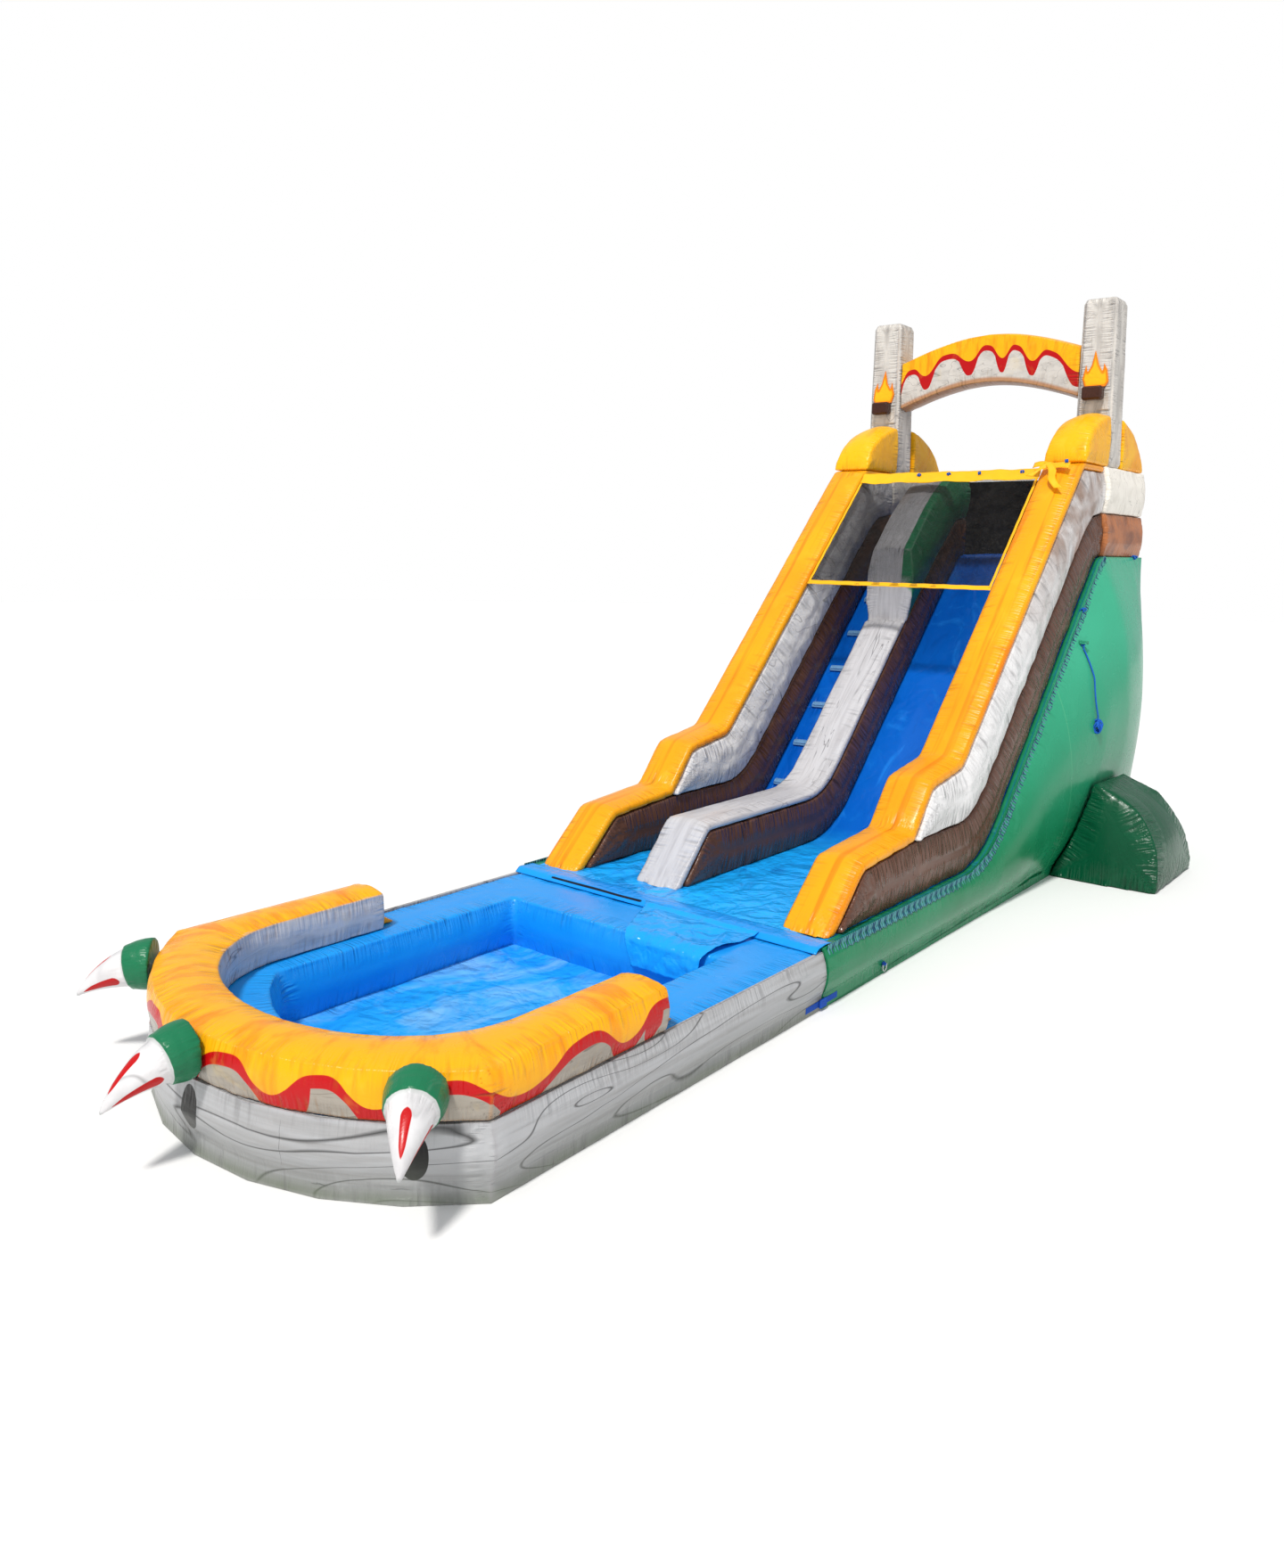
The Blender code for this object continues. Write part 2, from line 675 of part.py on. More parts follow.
def build_divider(finishes):
    """The divider between the lanes: base tube, marbled cap and the tall crest by the net."""
    x_range = (DIVIDER_LEFT, DIVIDER_RIGHT)
    start = DECK.distance_at(DIVIDER_NOSE)
    crest_y = between(FLAT_RUN, CREST_CORNER, CREST_FRONT_SHARE)
    crest_start = DECK.distance_at(crest_y)
    line = Path(offset_path(DECK.points, DIVIDER_HEIGHT))
    marks = [start] + [mark for mark in DECK.marks if start + SWEEP_RADIUS / 4 < mark]
    marks = sorted(marks + [crest_start])
    top = [line.place(line.length * mark / DECK.length)[0] for mark in marks]
    nose = filleted([(DIVIDER_FOOT, CAP_FOOT), top[0], top[1]], [DIVIDER_NOSE_RADIUS], 3)
    top = nose[:-1] + top[1:]
    top[-1] = Vector((TOWER_FRONT, DECK_HEIGHT + DIVIDER_HEIGHT))
    under = offset_path(top, -DIVIDER_CAP_THICKNESS)
    under[0] = between(under[0], under[1], (CAP_FOOT - under[0].y) / (under[1].y - under[0].y))
    low = [Vector((point.x, FOOT_HEIGHT)) for point in under[:len(nose) - 1]]
    low += [DECK.place(mark)[0] for mark in marks[1:]]
    base_start = between(under[0], under[1], BASE_START_SHARE)
    base_low = [Vector((base_start.x, FOOT_HEIGHT))] + low[1:]
    chamber("divider_base", (base_low, [base_start] + under[1:]), x_range, finishes["brown"],
            DIVIDER_BULGE)
    end = len(nose) - 1 + marks.index(crest_start)
    chamber("divider_cap", (under[:end], top[:end]), x_range, finishes["grey"], 0.0,
            DIVIDER_CAP_CROWN, (0, 3))
    seat = under[end - 1:]
    raised = Path(offset_path(DECK.points, CREST_HEIGHT))
    first = raised.length * crest_start / DECK.length + CREST_LEAN
    seat_path = Path(seat)
    ridge = []
    for mark in seat_path.marks:
        share = mark / seat_path.length
        ridge.append(raised.place(between(first, raised.length, share))[0])
    ridge[-1] = Vector((TOWER_FRONT, DECK_HEIGHT + CREST_HEIGHT))
    seat[0] = between(seat[0], seat[1], SEAM_GAP / (seat[1] - seat[0]).length)
    chamber("divider_crest", (seat, ridge), x_range, finishes["grey"], CREST_SIDE_BULGE,
            CREST_CROWN, (3, 3))


def build_beds(finishes):
    """The two sliding beds and the platform behind them."""
    middle = (DIVIDER_LEFT + DIVIDER_RIGHT) / 2
    edge = HULL_HALF - HULL_SKIN - SEAM_GAP
    low = offset_path(DECK.points, -BED_THICKNESS)
    low[0].x = 0.0
    low[-1] = Vector((TOWER_FRONT, DECK_HEIGHT - BED_THICKNESS))
    lanes = (
        ("slide_bed", middle + SEAM_GAP, DIVIDER_RIGHT, WALL_INNER, edge),
        ("climb_bed", middle - SEAM_GAP, DIVIDER_LEFT, -WALL_INNER, -edge),
    )
    for name, inside, lane_in, lane_out, outside in lanes:
        rings = []
        for top, bottom in zip(DECK.points, low):
            ring = [(outside, bottom.x, bottom.y), (inside, bottom.x, bottom.y)]
            ring.append((inside, top.x, top.y))
            for share in BED_SHARES:
                lift = BED_CROWN * swell(share) if top.x > FLAP_DEPTH + 2 * SEAM_GAP else 0.0
                ring.append((between(lane_in, lane_out, share), top.x, top.y + lift))
            ring.append((outside, top.x, top.y))
            rings.append(ring)
        bed = loft(name, rings, finishes["blue"])
        if name == "climb_bed":
            fuse(bed, "step_bar_guide", step_bars())
    bm = bmesh.new()
    under = DECK_HEIGHT - BED_THICKNESS
    outline = [
        (TOWER_FRONT + SEAM_GAP, under), (HULL_REAR, under),
        (HULL_REAR, DECK_HEIGHT), (TOWER_FRONT + SEAM_GAP, DECK_HEIGHT),
    ]
    prism(bm, outline, -edge, edge)
    add_object("platform", bm, finishes["blue"])


def step_bars():
    """Padded bars across the climbing lane, sewn to the slope a step apart."""
    bm = bmesh.new()
    foot = DECK.distance_at(FLAT_RUN)
    x_low = -WALL_INNER + BASE_TUBE_BULGE + STEP_END_CLEARANCE
    x_high = DIVIDER_LEFT - DIVIDER_BULGE - STEP_END_CLEARANCE
    for i in range(STEP_COUNT):
        point, normal = DECK.place(foot + STEP_FIRST + i * STEP_PITCH)
        along = Vector((normal.y, -normal.x))
        rings = []
        for share in STEP_RING_SHARES:
            full = between(STEP_END_FILL_SHARE, 1.0, swell(share))
            ring = []
            for reach_share, lift_share in STEP_SHARES:
                spot = point + along * (reach_share * STEP_WIDTH / 2)
                spot += normal * (lift_share * STEP_HEIGHT * full)
                ring.append((between(x_low, x_high, share), spot.x, spot.y))
            rings.append(ring)
        skin_rings(bm, rings)
    return bm


def hull_bulge(y, share):
    """How far the hull side stands out at a distance back and a share of the way up."""
    height = DECK.height(min(y, TOWER_FRONT))
    strip = BASE_STRIP / height
    if share <= strip:
        return 0.0
    fill = swell((share - strip) / (1.0 - strip)) ** HULL_BULGE_POWER
    ease = swell(min((HULL_REAR - y) / HULL_REAR_EASE, 1.0) / 2) ** HULL_BULGE_POWER
    return height * HULL_BULGE_SHARE * fill * ease


def hull_face(y, z):
    """How far the hull side's flat facets stand out at a distance back and a height."""
    top = DECK.height(min(y, TOWER_FRONT))
    strip = BASE_STRIP / top
    shares = [between(strip, 1.0, part) for part in HULL_SHARES]
    for low, high in zip(shares, shares[1:]):
        if low <= z / top <= high:
            part = (z / top - low) / (high - low)
            return between(hull_bulge(y, low), hull_bulge(y, high), part)
    return 0.0


def build_hull(finishes):
    """The hull: bulging sides, a back, a floor with its front turned up, and inner webs."""
    backs = [point.x for point in DECK.points]
    backs += [between(TOWER_FRONT, HULL_REAR, share) for share in REAR_SHARES]
    for side, word in ((1, "right"), (-1, "left")):
        outer, inner = [], []
        for y in backs:
            top = DECK.height(min(y, TOWER_FRONT))
            strip = BASE_STRIP / top
            shares = [0.0] + [between(strip, 1.0, part) for part in HULL_SHARES]
            outer.append([(side * (HULL_HALF + hull_bulge(y, s)), y, s * top) for s in shares])
            inner.append([(side * (HULL_HALF - HULL_SKIN + hull_bulge(y, s)), y, s * top)
                          for s in shares])
        bm = bmesh.new()
        panel(bm, outer, inner)
        hull = add_object("hull_side_" + word, bm, finishes["green"])
        if side > 0:
            top = rope_route()[0]
            centre = top + Vector((0.0, 0.0, ROPE_TAB_SIZE / 2 + SEAM_GAP))
            size = (ROPE_TAB_DEPTH, ROPE_TAB_SIZE, ROPE_TAB_SIZE)
            tab = bmesh.new()
            bevelled_box(tab, centre, size, SLIDER_BEVEL)
            fuse(hull, "rope_tab_guide", tab)

    edge = HULL_HALF - HULL_SKIN - SEAM_GAP
    under = DECK_HEIGHT - BED_THICKNESS - SEAM_GAP
    outer, inner = [], []
    for part in (-1.0, 0.0, *FIFTH_SHARES, 1.0):
        z = between(BACK_BAND, under, part) if part >= 0.0 else 0.0
        row = []
        for across in BACK_WIDTH_SHARES:
            swelling = BACK_BULGE * (swell(part) * swell(across)) ** HULL_BULGE_POWER
            row.append((between(-edge, edge, across), HULL_REAR + swelling, z))
        outer.append(row)
        inner.append([(x, y - HULL_SKIN, height) for x, y, height in row])
    bm = bmesh.new()
    panel(bm, outer, inner)
    add_object("hull_back", bm, finishes["green"])

    front_top = FOOT_HEIGHT - BED_THICKNESS - SEAM_GAP
    back = HULL_REAR - HULL_SKIN - SEAM_GAP
    outline = [
        (0.0, front_top), (0.0, 0.0), (back, 0.0),
        (back, HULL_SKIN), (HULL_SKIN, HULL_SKIN), (HULL_SKIN, front_top),
    ]
    bm = bmesh.new()
    prism(bm, outline, -edge, edge)
    add_object("hull_floor", bm, finishes["green"])

    bed = Path(offset_path(DECK.points, -BED_THICKNESS))
    x_edge = edge - SEAM_GAP
    for share, word in zip(WEB_RUN_SHARES, ("front", "rear")):
        y = HULL_REAR * share
        low = HULL_SKIN + SEAM_GAP
        high = min(bed.height(min(y, TOWER_FRONT)) - SEAM_GAP, under)
        frames = []
        for back_y in (y, y + WEB_THICKNESS):
            for inset in (0.0, WEB_FRAME):
                frames.append([
                    (-x_edge + inset, back_y, low + inset), (x_edge - inset, back_y, low + inset),
                    (x_edge - inset, back_y, high - inset), (-x_edge + inset, back_y, high - inset),
                ])
        rings = [frames[0], frames[1], frames[3], frames[2]]
        loft("inner_web_" + word, rings, finishes["green"], closed=True)


def build_tower(finishes):
    """Rear side pads around the platform, with a dome on each side of either pillar."""
    split = DECK_HEIGHT + TOWER_SPLIT
    for side, word in ((1, "right"), (-1, "left")):
        x_range = (side * WALL_INNER, side * (WALL_INNER + TOWER_WIDTH))
        front = TOWER_FRONT + SEAM_GAP
        stations = [between(front, HULL_REAR, share) for share in TOWER_SHARES]
        pads = (
            ("tower_lower_", DECK_HEIGHT, split, "tan"),
            ("tower_upper_", split, TOWER_TOP, "grey"),
        )
        for name, low, high, colour in pads:
            rows = ([Vector((y, low)) for y in stations], [Vector((y, high)) for y in stations])
            chamber(name + word, rows, x_range, finishes[colour], TOWER_BULGE)
        dome_range = (side * WALL_INNER, side * WALL_OUTER)
        arc = [DOME_CENTRE - DOME_HALF_LENGTH * math.cos(math.radians(a)) for a in DOME_ANGLES]
        stops = [y for y in arc if y < PILLAR_FRONT - PILLAR_DEPTH / 8]
        front_stops = stops + [PILLAR_FRONT - SEAM_GAP]
        rear_stops = [2 * DOME_CENTRE - y for y in reversed(front_stops)]
        for name, ys in (("dome_front_", front_stops), ("dome_rear_", rear_stops)):
            low = [Vector((y, TOWER_TOP)) for y in ys]
            high = [Vector((y, dome_height(y))) for y in ys]
            chamber(name + word, (low, high), dome_range, finishes["yellow"], DOME_SIDE_BULGE,
                    DOME_CROWN, (1, 3))


def dome_height(y):
    """The top of the round dome at y."""
    share = (y - DOME_CENTRE) / DOME_HALF_LENGTH
    return TOWER_TOP + DOME_HEIGHT * math.sqrt(max(1.0 - share * share, 0.0))


def build_pillars(finishes):
    """Two square, slightly tapered pillars and the arched beam between them."""
    for side, word in ((1, "right"), (-1, "left")):
        rings = []
        for share in PILLAR_SHARES:
            z = between(TOWER_TOP + SEAM_GAP, TOWER_TOP + PILLAR_HEIGHT, share)
            pinch = PILLAR_CROWN if share in (0.0, 1.0) else 0.0
            half_x = PILLAR_WIDTH / 2 - PILLAR_TAPER * share - pinch
            half_y = PILLAR_DEPTH / 2 - PILLAR_TAPER * share - pinch
            cut_x = half_x * PILLAR_CHAMFER_SHARE
            cut_y = half_y * PILLAR_CHAMFER_SHARE
            corners = [(-half_x, -cut_y), (-cut_x, -half_y), (cut_x, -half_y), (half_x, -cut_y)]
            corners += [(-x, -y) for x, y in corners]
            rings.append([(side * PILLAR_OFFSET + x, DOME_CENTRE + y, z) for x, y in corners])
        loft("pillar_" + word, rings, finishes["grey"])
    reach = PILLAR_OFFSET - PILLAR_WIDTH / 2 - SEAM_GAP
    reach += PILLAR_TAPER * (ARCH_SPRING - ARCH_CROWN) / PILLAR_HEIGHT
    rings = []
    for share in ARCH_SHARES:
        lift = ARCH_RISE * math.cos(share * math.pi / 2)
        low = Vector((DOME_CENTRE, TOWER_TOP + ARCH_SPRING + lift))
        half = ARCH_DEPTH / 2
        high = low.y + ARCH_THICKNESS
        x = share * reach
        y = low.x
        rings.append([
            (x, y - half, low.y), (x, y, low.y - ARCH_CROWN), (x, y + half, low.y),
            (x, y + half + ARCH_CROWN / 2, (low.y + high) / 2), (x, y + half, high),
            (x, y, high + ARCH_CROWN), (x, y - half, high),
            (x, y - half - ARCH_CROWN / 2, (low.y + high) / 2),
        ])
    loft("arch", rings, finishes["yellow"])


def pillar_face(height):
    """The front face of a pillar at a height above its foot."""
    share = height / PILLAR_HEIGHT
    return DOME_CENTRE - PILLAR_DEPTH / 2 + PILLAR_TAPER * share


def build_torches(finishes):
    """A padded torch on each pillar: a bracket with a flat flame sewn behind it."""
    lean = Vector((PILLAR_TAPER / PILLAR_HEIGHT, 1.0)).normalized()
    for side, word in ((1, "right"), (-1, "left")):
        x = side * PILLAR_OFFSET
        face = pillar_face(BRACKET_BASE) - SEAM_GAP
        centre = (x, face - BRACKET_DEPTH / 2, TOWER_TOP + BRACKET_BASE + BRACKET_HEIGHT / 2)
        size = (BRACKET_WIDTH, BRACKET_DEPTH, BRACKET_HEIGHT)
        bracket = bmesh.new()
        bevelled_box(bracket, centre, size, BRACKET_BEVEL)
        torch = add_object("torch_" + word, bracket, finishes["brown"])
        flame = bmesh.new()
        foot = BRACKET_BASE + BRACKET_HEIGHT - 2 * BRACKET_BEVEL
        rings = []
        for depth in (SEAM_GAP, FLAME_THICKNESS):
            ring = []
            for across, up in FLAME_SHARES:
                z = foot + up * FLAME_HEIGHT
                y = pillar_face(z) - depth * lean.y
                ring.append((x + side * across * FLAME_WIDTH, y, TOWER_TOP + z))
            rings.append(ring)
        skin_rings(flame, rings)
        fuse(torch, "flame_guide_" + word, flame)


def net_marks(length, count, bar, first, last):
    """Where the bars of a net begin and end along one side, with wider hems at its ends."""
    marks = [0.0, first / length]
    pitch = (length - first - last + bar) / count
    for i in range(1, count):
        marks.append((first + i * pitch - bar) / length)
        marks.append((first + i * pitch) / length)
    return marks + [1.0 - last / length, 1.0]


def lattice(bm, place, us, vs, thickness):
    """A flat net: bars round rows of gaps, on a grid given by place(u, v, depth)."""
    sheets = []
    for depth in (0.0, thickness):
        sheets.append([[bm.verts.new(place(u, v, depth)) for u in us] for v in vs])
    solid = {}
    for j in range(len(vs) - 1):
        for i in range(len(us) - 1):
            solid[i, j] = i % 2 == 0 or j % 2 == 0
    for (i, j), filled in solid.items():
        if not filled:
            continue
        for sheet in sheets:
            bm.faces.new((sheet[j][i], sheet[j][i + 1], sheet[j + 1][i + 1], sheet[j + 1][i]))
        sides = (
            ((i, j - 1), (i, j), (i + 1, j)), ((i + 1, j), (i + 1, j), (i + 1, j + 1)),
            ((i, j + 1), (i, j + 1), (i + 1, j + 1)), ((i - 1, j), (i, j), (i, j + 1)),
        )
        for neighbour, first, second in sides:
            if solid.get(neighbour):
                continue
            quad = [sheets[0][first[1]][first[0]], sheets[0][second[1]][second[0]],
                    sheets[1][second[1]][second[0]], sheets[1][first[1]][first[0]]]
            bm.faces.new(quad)


def build_nets(finishes):
    """The hemmed net over the top of the slide, and the net behind the platform."""
    along = Vector((SLOPE_COS, math.sin(SLOPE_ANGLE)))
    normal = Vector((-along.y, along.x))
    peak = Vector((rail_y(TOWER_TOP - FOOT_HEIGHT), TOWER_TOP))
    level = -(CAP_THICKNESS + NET_THICKNESS) / 2
    upper = peak - along * NET_TOP_INSET
    lower = upper - along * NET_LENGTH
    edge = WALL_INNER - SEAM_GAP

    def net_place(u, v, depth):
        spot = between(lower, upper, v) + normal * (level + depth)
        return between(-edge, edge, u), spot.x, spot.y

    bm = bmesh.new()
    us = net_marks(2 * edge, FRONT_NET_COLUMNS, NET_BAR, NET_BAR, NET_BAR)
    vs = net_marks(NET_LENGTH, FRONT_NET_ROWS, NET_BAR, NET_HEM_BOTTOM, NET_HEM_TOP)
    lattice(bm, net_place, us, vs, NET_THICKNESS)
    add_object("front_net", bm, finishes["black"])

    low = DECK_HEIGHT + SEAM_GAP
    back = HULL_REAR - REAR_NET_SETBACK
    span = WALL_INNER - TOWER_BULGE - SEAM_GAP

    def rear_place(u, v, depth):
        fold = NET_FOLD * math.sin(3 * math.pi * u) * swell(v) * swell(u)
        return between(-span, span, u), back + fold + depth, between(low, low + REAR_NET_HEIGHT, v)

    bm = bmesh.new()
    us = net_marks(2 * span, REAR_NET_COLUMNS, NET_BAR, NET_BAR, NET_BAR)
    vs = net_marks(REAR_NET_HEIGHT, REAR_NET_ROWS, NET_BAR, NET_BAR, NET_BAR)
    lattice(bm, rear_place, us, vs, NET_THICKNESS)
    add_object("rear_net", bm, finishes["black"])


def build_outriggers(finishes):
    """A wedge-shaped outrigger that leans on each side of the hull."""
    middle = OUTRIGGER_FRONT + OUTRIGGER_LENGTH / 2
    for side, word in ((1, "right"), (-1, "left")):
        rings = []
        for share in OUTRIGGER_RISE_SHARES:
            z = share * OUTRIGGER_HEIGHT
            half = between(OUTRIGGER_LENGTH, OUTRIGGER_RIDGE, share) / 2
            belly = OUTRIGGER_BULGE * swell(share)
            base = HULL_HALF + SEAM_GAP
            ridge = base + hull_bulge(middle, z / DECK_HEIGHT) + OUTRIGGER_SLACK
            spread = math.sqrt(1.0 - share * share)
            reach = between(ridge + OUTRIGGER_RIDGE_WIDTH, HULL_HALF + OUTRIGGER_REACH, spread)
            ring = []
            for part in OUTRIGGER_INNER_SHARES:
                y = middle + half * part
                lean = hull_bulge(y, z / DECK.height(min(y, TOWER_FRONT)))
                slack = OUTRIGGER_SLACK * min(share / OUTRIGGER_SLACK_SHARE, 1.0)
                ring.append((side * (base + lean + slack), y, z))
            for part, out in OUTRIGGER_OUTER_SHARES:
                inside = ring[4][0] if part > 0 else ring[0][0]
                x = between(abs(inside), reach, out)
                y = middle + half * part
                if out == 1.0:
                    x += belly if part == 0.0 else belly / 2
                else:
                    y += math.copysign(belly, part)
                ring.append((side * x, y, z))
            rings.append(ring)
        loft("outrigger_" + word, rings, finishes["green"])


def circle(centre, first, second, radius, count):
    """Points on a circle spanned by two unit directions."""
    points = []
    for i in range(count):
        angle = 2 * math.pi * i / count
        reach = first * (radius * math.cos(angle)) + second * (radius * math.sin(angle))
        points.append(tuple(Vector(centre) + reach))
    return points


def build_back_fittings(finishes):
    """The sleeve that the blower fills, and the zip that lets the air out."""
    across = Vector((1.0, 0.0, 0.0))
    up = Vector((0.0, 0.0, 1.0))
    root = HULL_REAR + SEAM_GAP
    rings = []
    for radius, shares in ((SLEEVE_RADIUS, SLEEVE_SHARES),
                           (SLEEVE_RADIUS - SLEEVE_WALL, SLEEVE_SHARES[::-1])):
        for share in shares:
            centre = (SLEEVE_OFFSET, root + share * SLEEVE_LENGTH, SLEEVE_HEIGHT)
            rings.append(circle(centre, across, up, radius, SLEEVE_SIDES))
    loft("inflation_sleeve", rings, finishes["green"], closed=True)

    bm = bmesh.new()
    outline = [
        (root, ZIP_HEIGHT - ZIP_WIDTH / 2), (root + ZIP_THICKNESS, ZIP_HEIGHT - ZIP_WIDTH / 2),
        (root + ZIP_THICKNESS, ZIP_HEIGHT + ZIP_WIDTH / 2), (root, ZIP_HEIGHT + ZIP_WIDTH / 2),
    ]
    start = ZIP_OFFSET - ZIP_LENGTH / 2
    prism(bm, outline, start, start + ZIP_LENGTH)
    add_object("zip_tape", bm, finishes["plastic"])
    bm = bmesh.new()
    size = (SLIDER_LENGTH, SLIDER_THICKNESS, SLIDER_WIDTH)
    home = Vector((
        start + (ZIP_LENGTH - SLIDER_TRAVEL) / 2,
        root + ZIP_THICKNESS + SEAM_GAP + SLIDER_THICKNESS / 2,
        ZIP_HEIGHT,
    ))
    bevelled_box(bm, home, size, SLIDER_BEVEL)
    move_onto_joint(add_object("zip_slider", bm, finishes["steel"]), home)


def nose_arc(half, straight, nose, steps):
    """Plan points of a nose: a circular arc through two corners and the tip between them."""
    radius = (half * half + nose * nose) / (2 * nose)
    sweep = math.asin(half / radius)
    points = []
    for step in range(steps + 1):
        angle = between(sweep, -sweep, step / steps)
        points.append((radius * math.sin(angle), -straight - nose + radius * (1 - math.cos(angle))))
    return points


def pool_plan():
    """Matching outer and inner plan points round the pool, from the rear right corner."""
    half = HULL_HALF - SKIRT_THICKNESS - SEAM_GAP
    inner_half = HULL_HALF - POOL_WALL_WIDTH
    nose = nose_arc(half, POOL_SIDE, POOL_NOSE - SKIRT_THICKNESS - SEAM_GAP, NOSE_STEPS)
    inner_nose = nose_arc(inner_half, POOL_INNER_SIDE, POOL_INNER_NOSE, NOSE_STEPS)
    side = [(half, -SEAM_GAP), (half, -POOL_REAR_WALL), (half, -POOL_SIDE / 2)]
    inner_side = [
        (inner_half, -POOL_REAR_WALL), (inner_half, -POOL_REAR_WALL - SEAM_GAP),
        (inner_half, -POOL_SIDE / 2),
    ]
    outer = side + nose + [(-x, y) for x, y in reversed(side)] + [(0.0, -SEAM_GAP)]
    inner = inner_side + inner_nose + [(-x, y) for x, y in reversed(inner_side)]
    return outer, inner + [(0.0, -POOL_REAR_WALL)]


def build_pool(finishes):
    """The pool: an inflated ring, its marbled skirt and a floor sheet."""
    outer, inner = pool_plan()
    foot = POOL_FLOOR_THICKNESS
    rings = []
    for out, into in zip(outer, inner):
        away = (Vector(into) - Vector(out)).normalized()
        ring = [(*out, 0.0), (*out, POOL_HEIGHT), (*into, POOL_HEIGHT)]
        for share in (*reversed(QUARTER_SHARES), 0.0):
            reach = Vector(into) + away * (POOL_BULGE * swell(share))
            ring.append((reach.x, reach.y, between(foot, POOL_HEIGHT, share)))
        ring.append((*into, 0.0))
        rings.append(ring)
    loft("pool_wall", rings, finishes["blue"], closed=True)

    half = HULL_HALF
    outline = nose_arc(half, POOL_SIDE, POOL_NOSE, NOSE_STEPS)
    side = [(half, -SEAM_GAP), (half, -POOL_SIDE / 2)]
    outline = side + outline + [(-x, y) for x, y in reversed(side)]
    inside = [(half - SKIRT_THICKNESS, -SEAM_GAP), (half - SKIRT_THICKNESS, -POOL_SIDE / 2)]
    inside += nose_arc(half - SKIRT_THICKNESS, POOL_SIDE, POOL_NOSE - SKIRT_THICKNESS, NOSE_STEPS)
    inside += [(SKIRT_THICKNESS - half, -POOL_SIDE / 2), (SKIRT_THICKNESS - half, -SEAM_GAP)]
    rings = []
    for out, into in zip(outline, inside):
        away = (Vector(out) - Vector(into)).normalized()
        ring = [(*into, 0.0), (*out, 0.0)]
        for share in (0.0, *QUARTER_SHARES):
            reach = Vector(out) + away * (SKIRT_BULGE * swell(share))
            ring.append((reach.x, reach.y, between(BASE_STRIP, POOL_HEIGHT, share)))
        ring += [(*out, POOL_HEIGHT), (*into, POOL_HEIGHT)]
        rings.append(ring)
    loft("pool_skirt", rings, finishes["grey"])

    inner_half = HULL_HALF - POOL_WALL_WIDTH - SEAM_GAP
    rear = -POOL_REAR_WALL - SEAM_GAP
    plan = [(inner_half, rear)]
    plan += nose_arc(inner_half, POOL_INNER_SIDE, POOL_INNER_NOSE - 2 * SEAM_GAP, NOSE_STEPS)
    plan += [(-inner_half, rear)]
    levels = (0.0, POOL_FLOOR_THICKNESS - SEAM_GAP)
    loft("pool_floor", [[(x, y, z) for x, y in plan] for z in levels], finishes["blue"])


def shoe_stations():
    """Matching outer and inner plan points along the horseshoe, from the right end to the left.

    The outer line is that of the pool's own side and nose; the inner line is half an ellipse.
    """
    far = SHOE_STEPS - SHOE_CORNER_STEP
    nose = nose_arc(SHOE_OUTER_HALF, POOL_SIDE, SHOE_OUTER_NOSE, far - SHOE_CORNER_STEP)
    half_way = -(SHOE_END + SHOE_STRAIGHT) / 2
    stations = []
    for y in (-SHOE_END, half_way):
        stations.append(((SHOE_OUTER_HALF, y), (SHOE_INNER_HALF, y)))
    for step in range(SHOE_STEPS + 1):
        angle = math.pi * step / SHOE_STEPS
        into = (SHOE_INNER_HALF * math.cos(angle), -SHOE_STRAIGHT - SHOE_INNER_NOSE * math.sin(angle))
        if SHOE_CORNER_STEP <= step <= far:
            out = nose[step - SHOE_CORNER_STEP]
        else:
            share = min(step, SHOE_STEPS - step) / SHOE_CORNER_STEP
            side = math.copysign(SHOE_OUTER_HALF, math.cos(angle))
            out = (side, between(-SHOE_STRAIGHT, -POOL_SIDE, share))
        stations.append((out, into))
    for y in (half_way, -SHOE_END):
        stations.append(((-SHOE_OUTER_HALF, y), (-SHOE_INNER_HALF, y)))
    return stations


def build_horseshoe(finishes):
    """The raised tube round the nose of the pool, with a gusset at the foot of each end."""
    rings = []
    foot = POOL_HEIGHT + SEAM_GAP
    shoulder = SHOE_HEIGHT * SHOE_SHOULDER_SHARE
    for out, into in shoe_stations():
        out, into = Vector(out), Vector(into)
        away = (out - into).normalized()
        profile = [(into, 0.0), (out, 0.0)]
        for share in QUARTER_SHARES:
            profile.append((out + away * (SHOE_BULGE * swell(share)), SHOE_HEIGHT * share))
        profile.append((out, shoulder))
        for share in QUARTER_SHARES:
            rise = SHOE_CROWN * (swell(share) ** SHOE_CROWN_POWER - SHOE_CROWN_DIP_SHARE)
            profile.append((out.lerp(into, share), SHOE_HEIGHT + rise))
        profile.append((into, shoulder))
        for share in reversed(QUARTER_SHARES):
            profile.append((into - away * (SHOE_BULGE * swell(share) / 2), SHOE_HEIGHT * share))
        rings.append([(spot.x, spot.y, foot + up) for spot, up in profile])
    shoe = loft("horseshoe", rings, finishes["yellow"], cap_crown=SHOE_END_CROWN)

    bm = bmesh.new()
    start = -SHOE_END - GUSSET_LENGTH
    tip = -SHOE_END + GUSSET_LENGTH
    outline = [(start, foot), (tip, foot), (-SHOE_END, foot + GUSSET_HEIGHT),
               (start, foot + GUSSET_HEIGHT)]
    for side in (1, -1):
        centre = side * (SHOE_OUTER_HALF + SHOE_INNER_HALF) / 2
        prism(bm, outline, centre - GUSSET_WIDTH / 2, centre + GUSSET_WIDTH / 2)
    fuse(shoe, "gusset_guide", bm)


def claw_place(distance, out, root):
    """The centre and upward direction at a distance along a curved claw."""
    radius = CLAW_LENGTH / CLAW_TURN
    turn = distance / radius
    down = Vector((0.0, 0.0, -1.0))
    centre = root + out * (radius * math.sin(turn)) + down * (radius * (1 - math.cos(turn)))
    upward = out * math.sin(turn) - down * math.cos(turn)
    return centre, upward


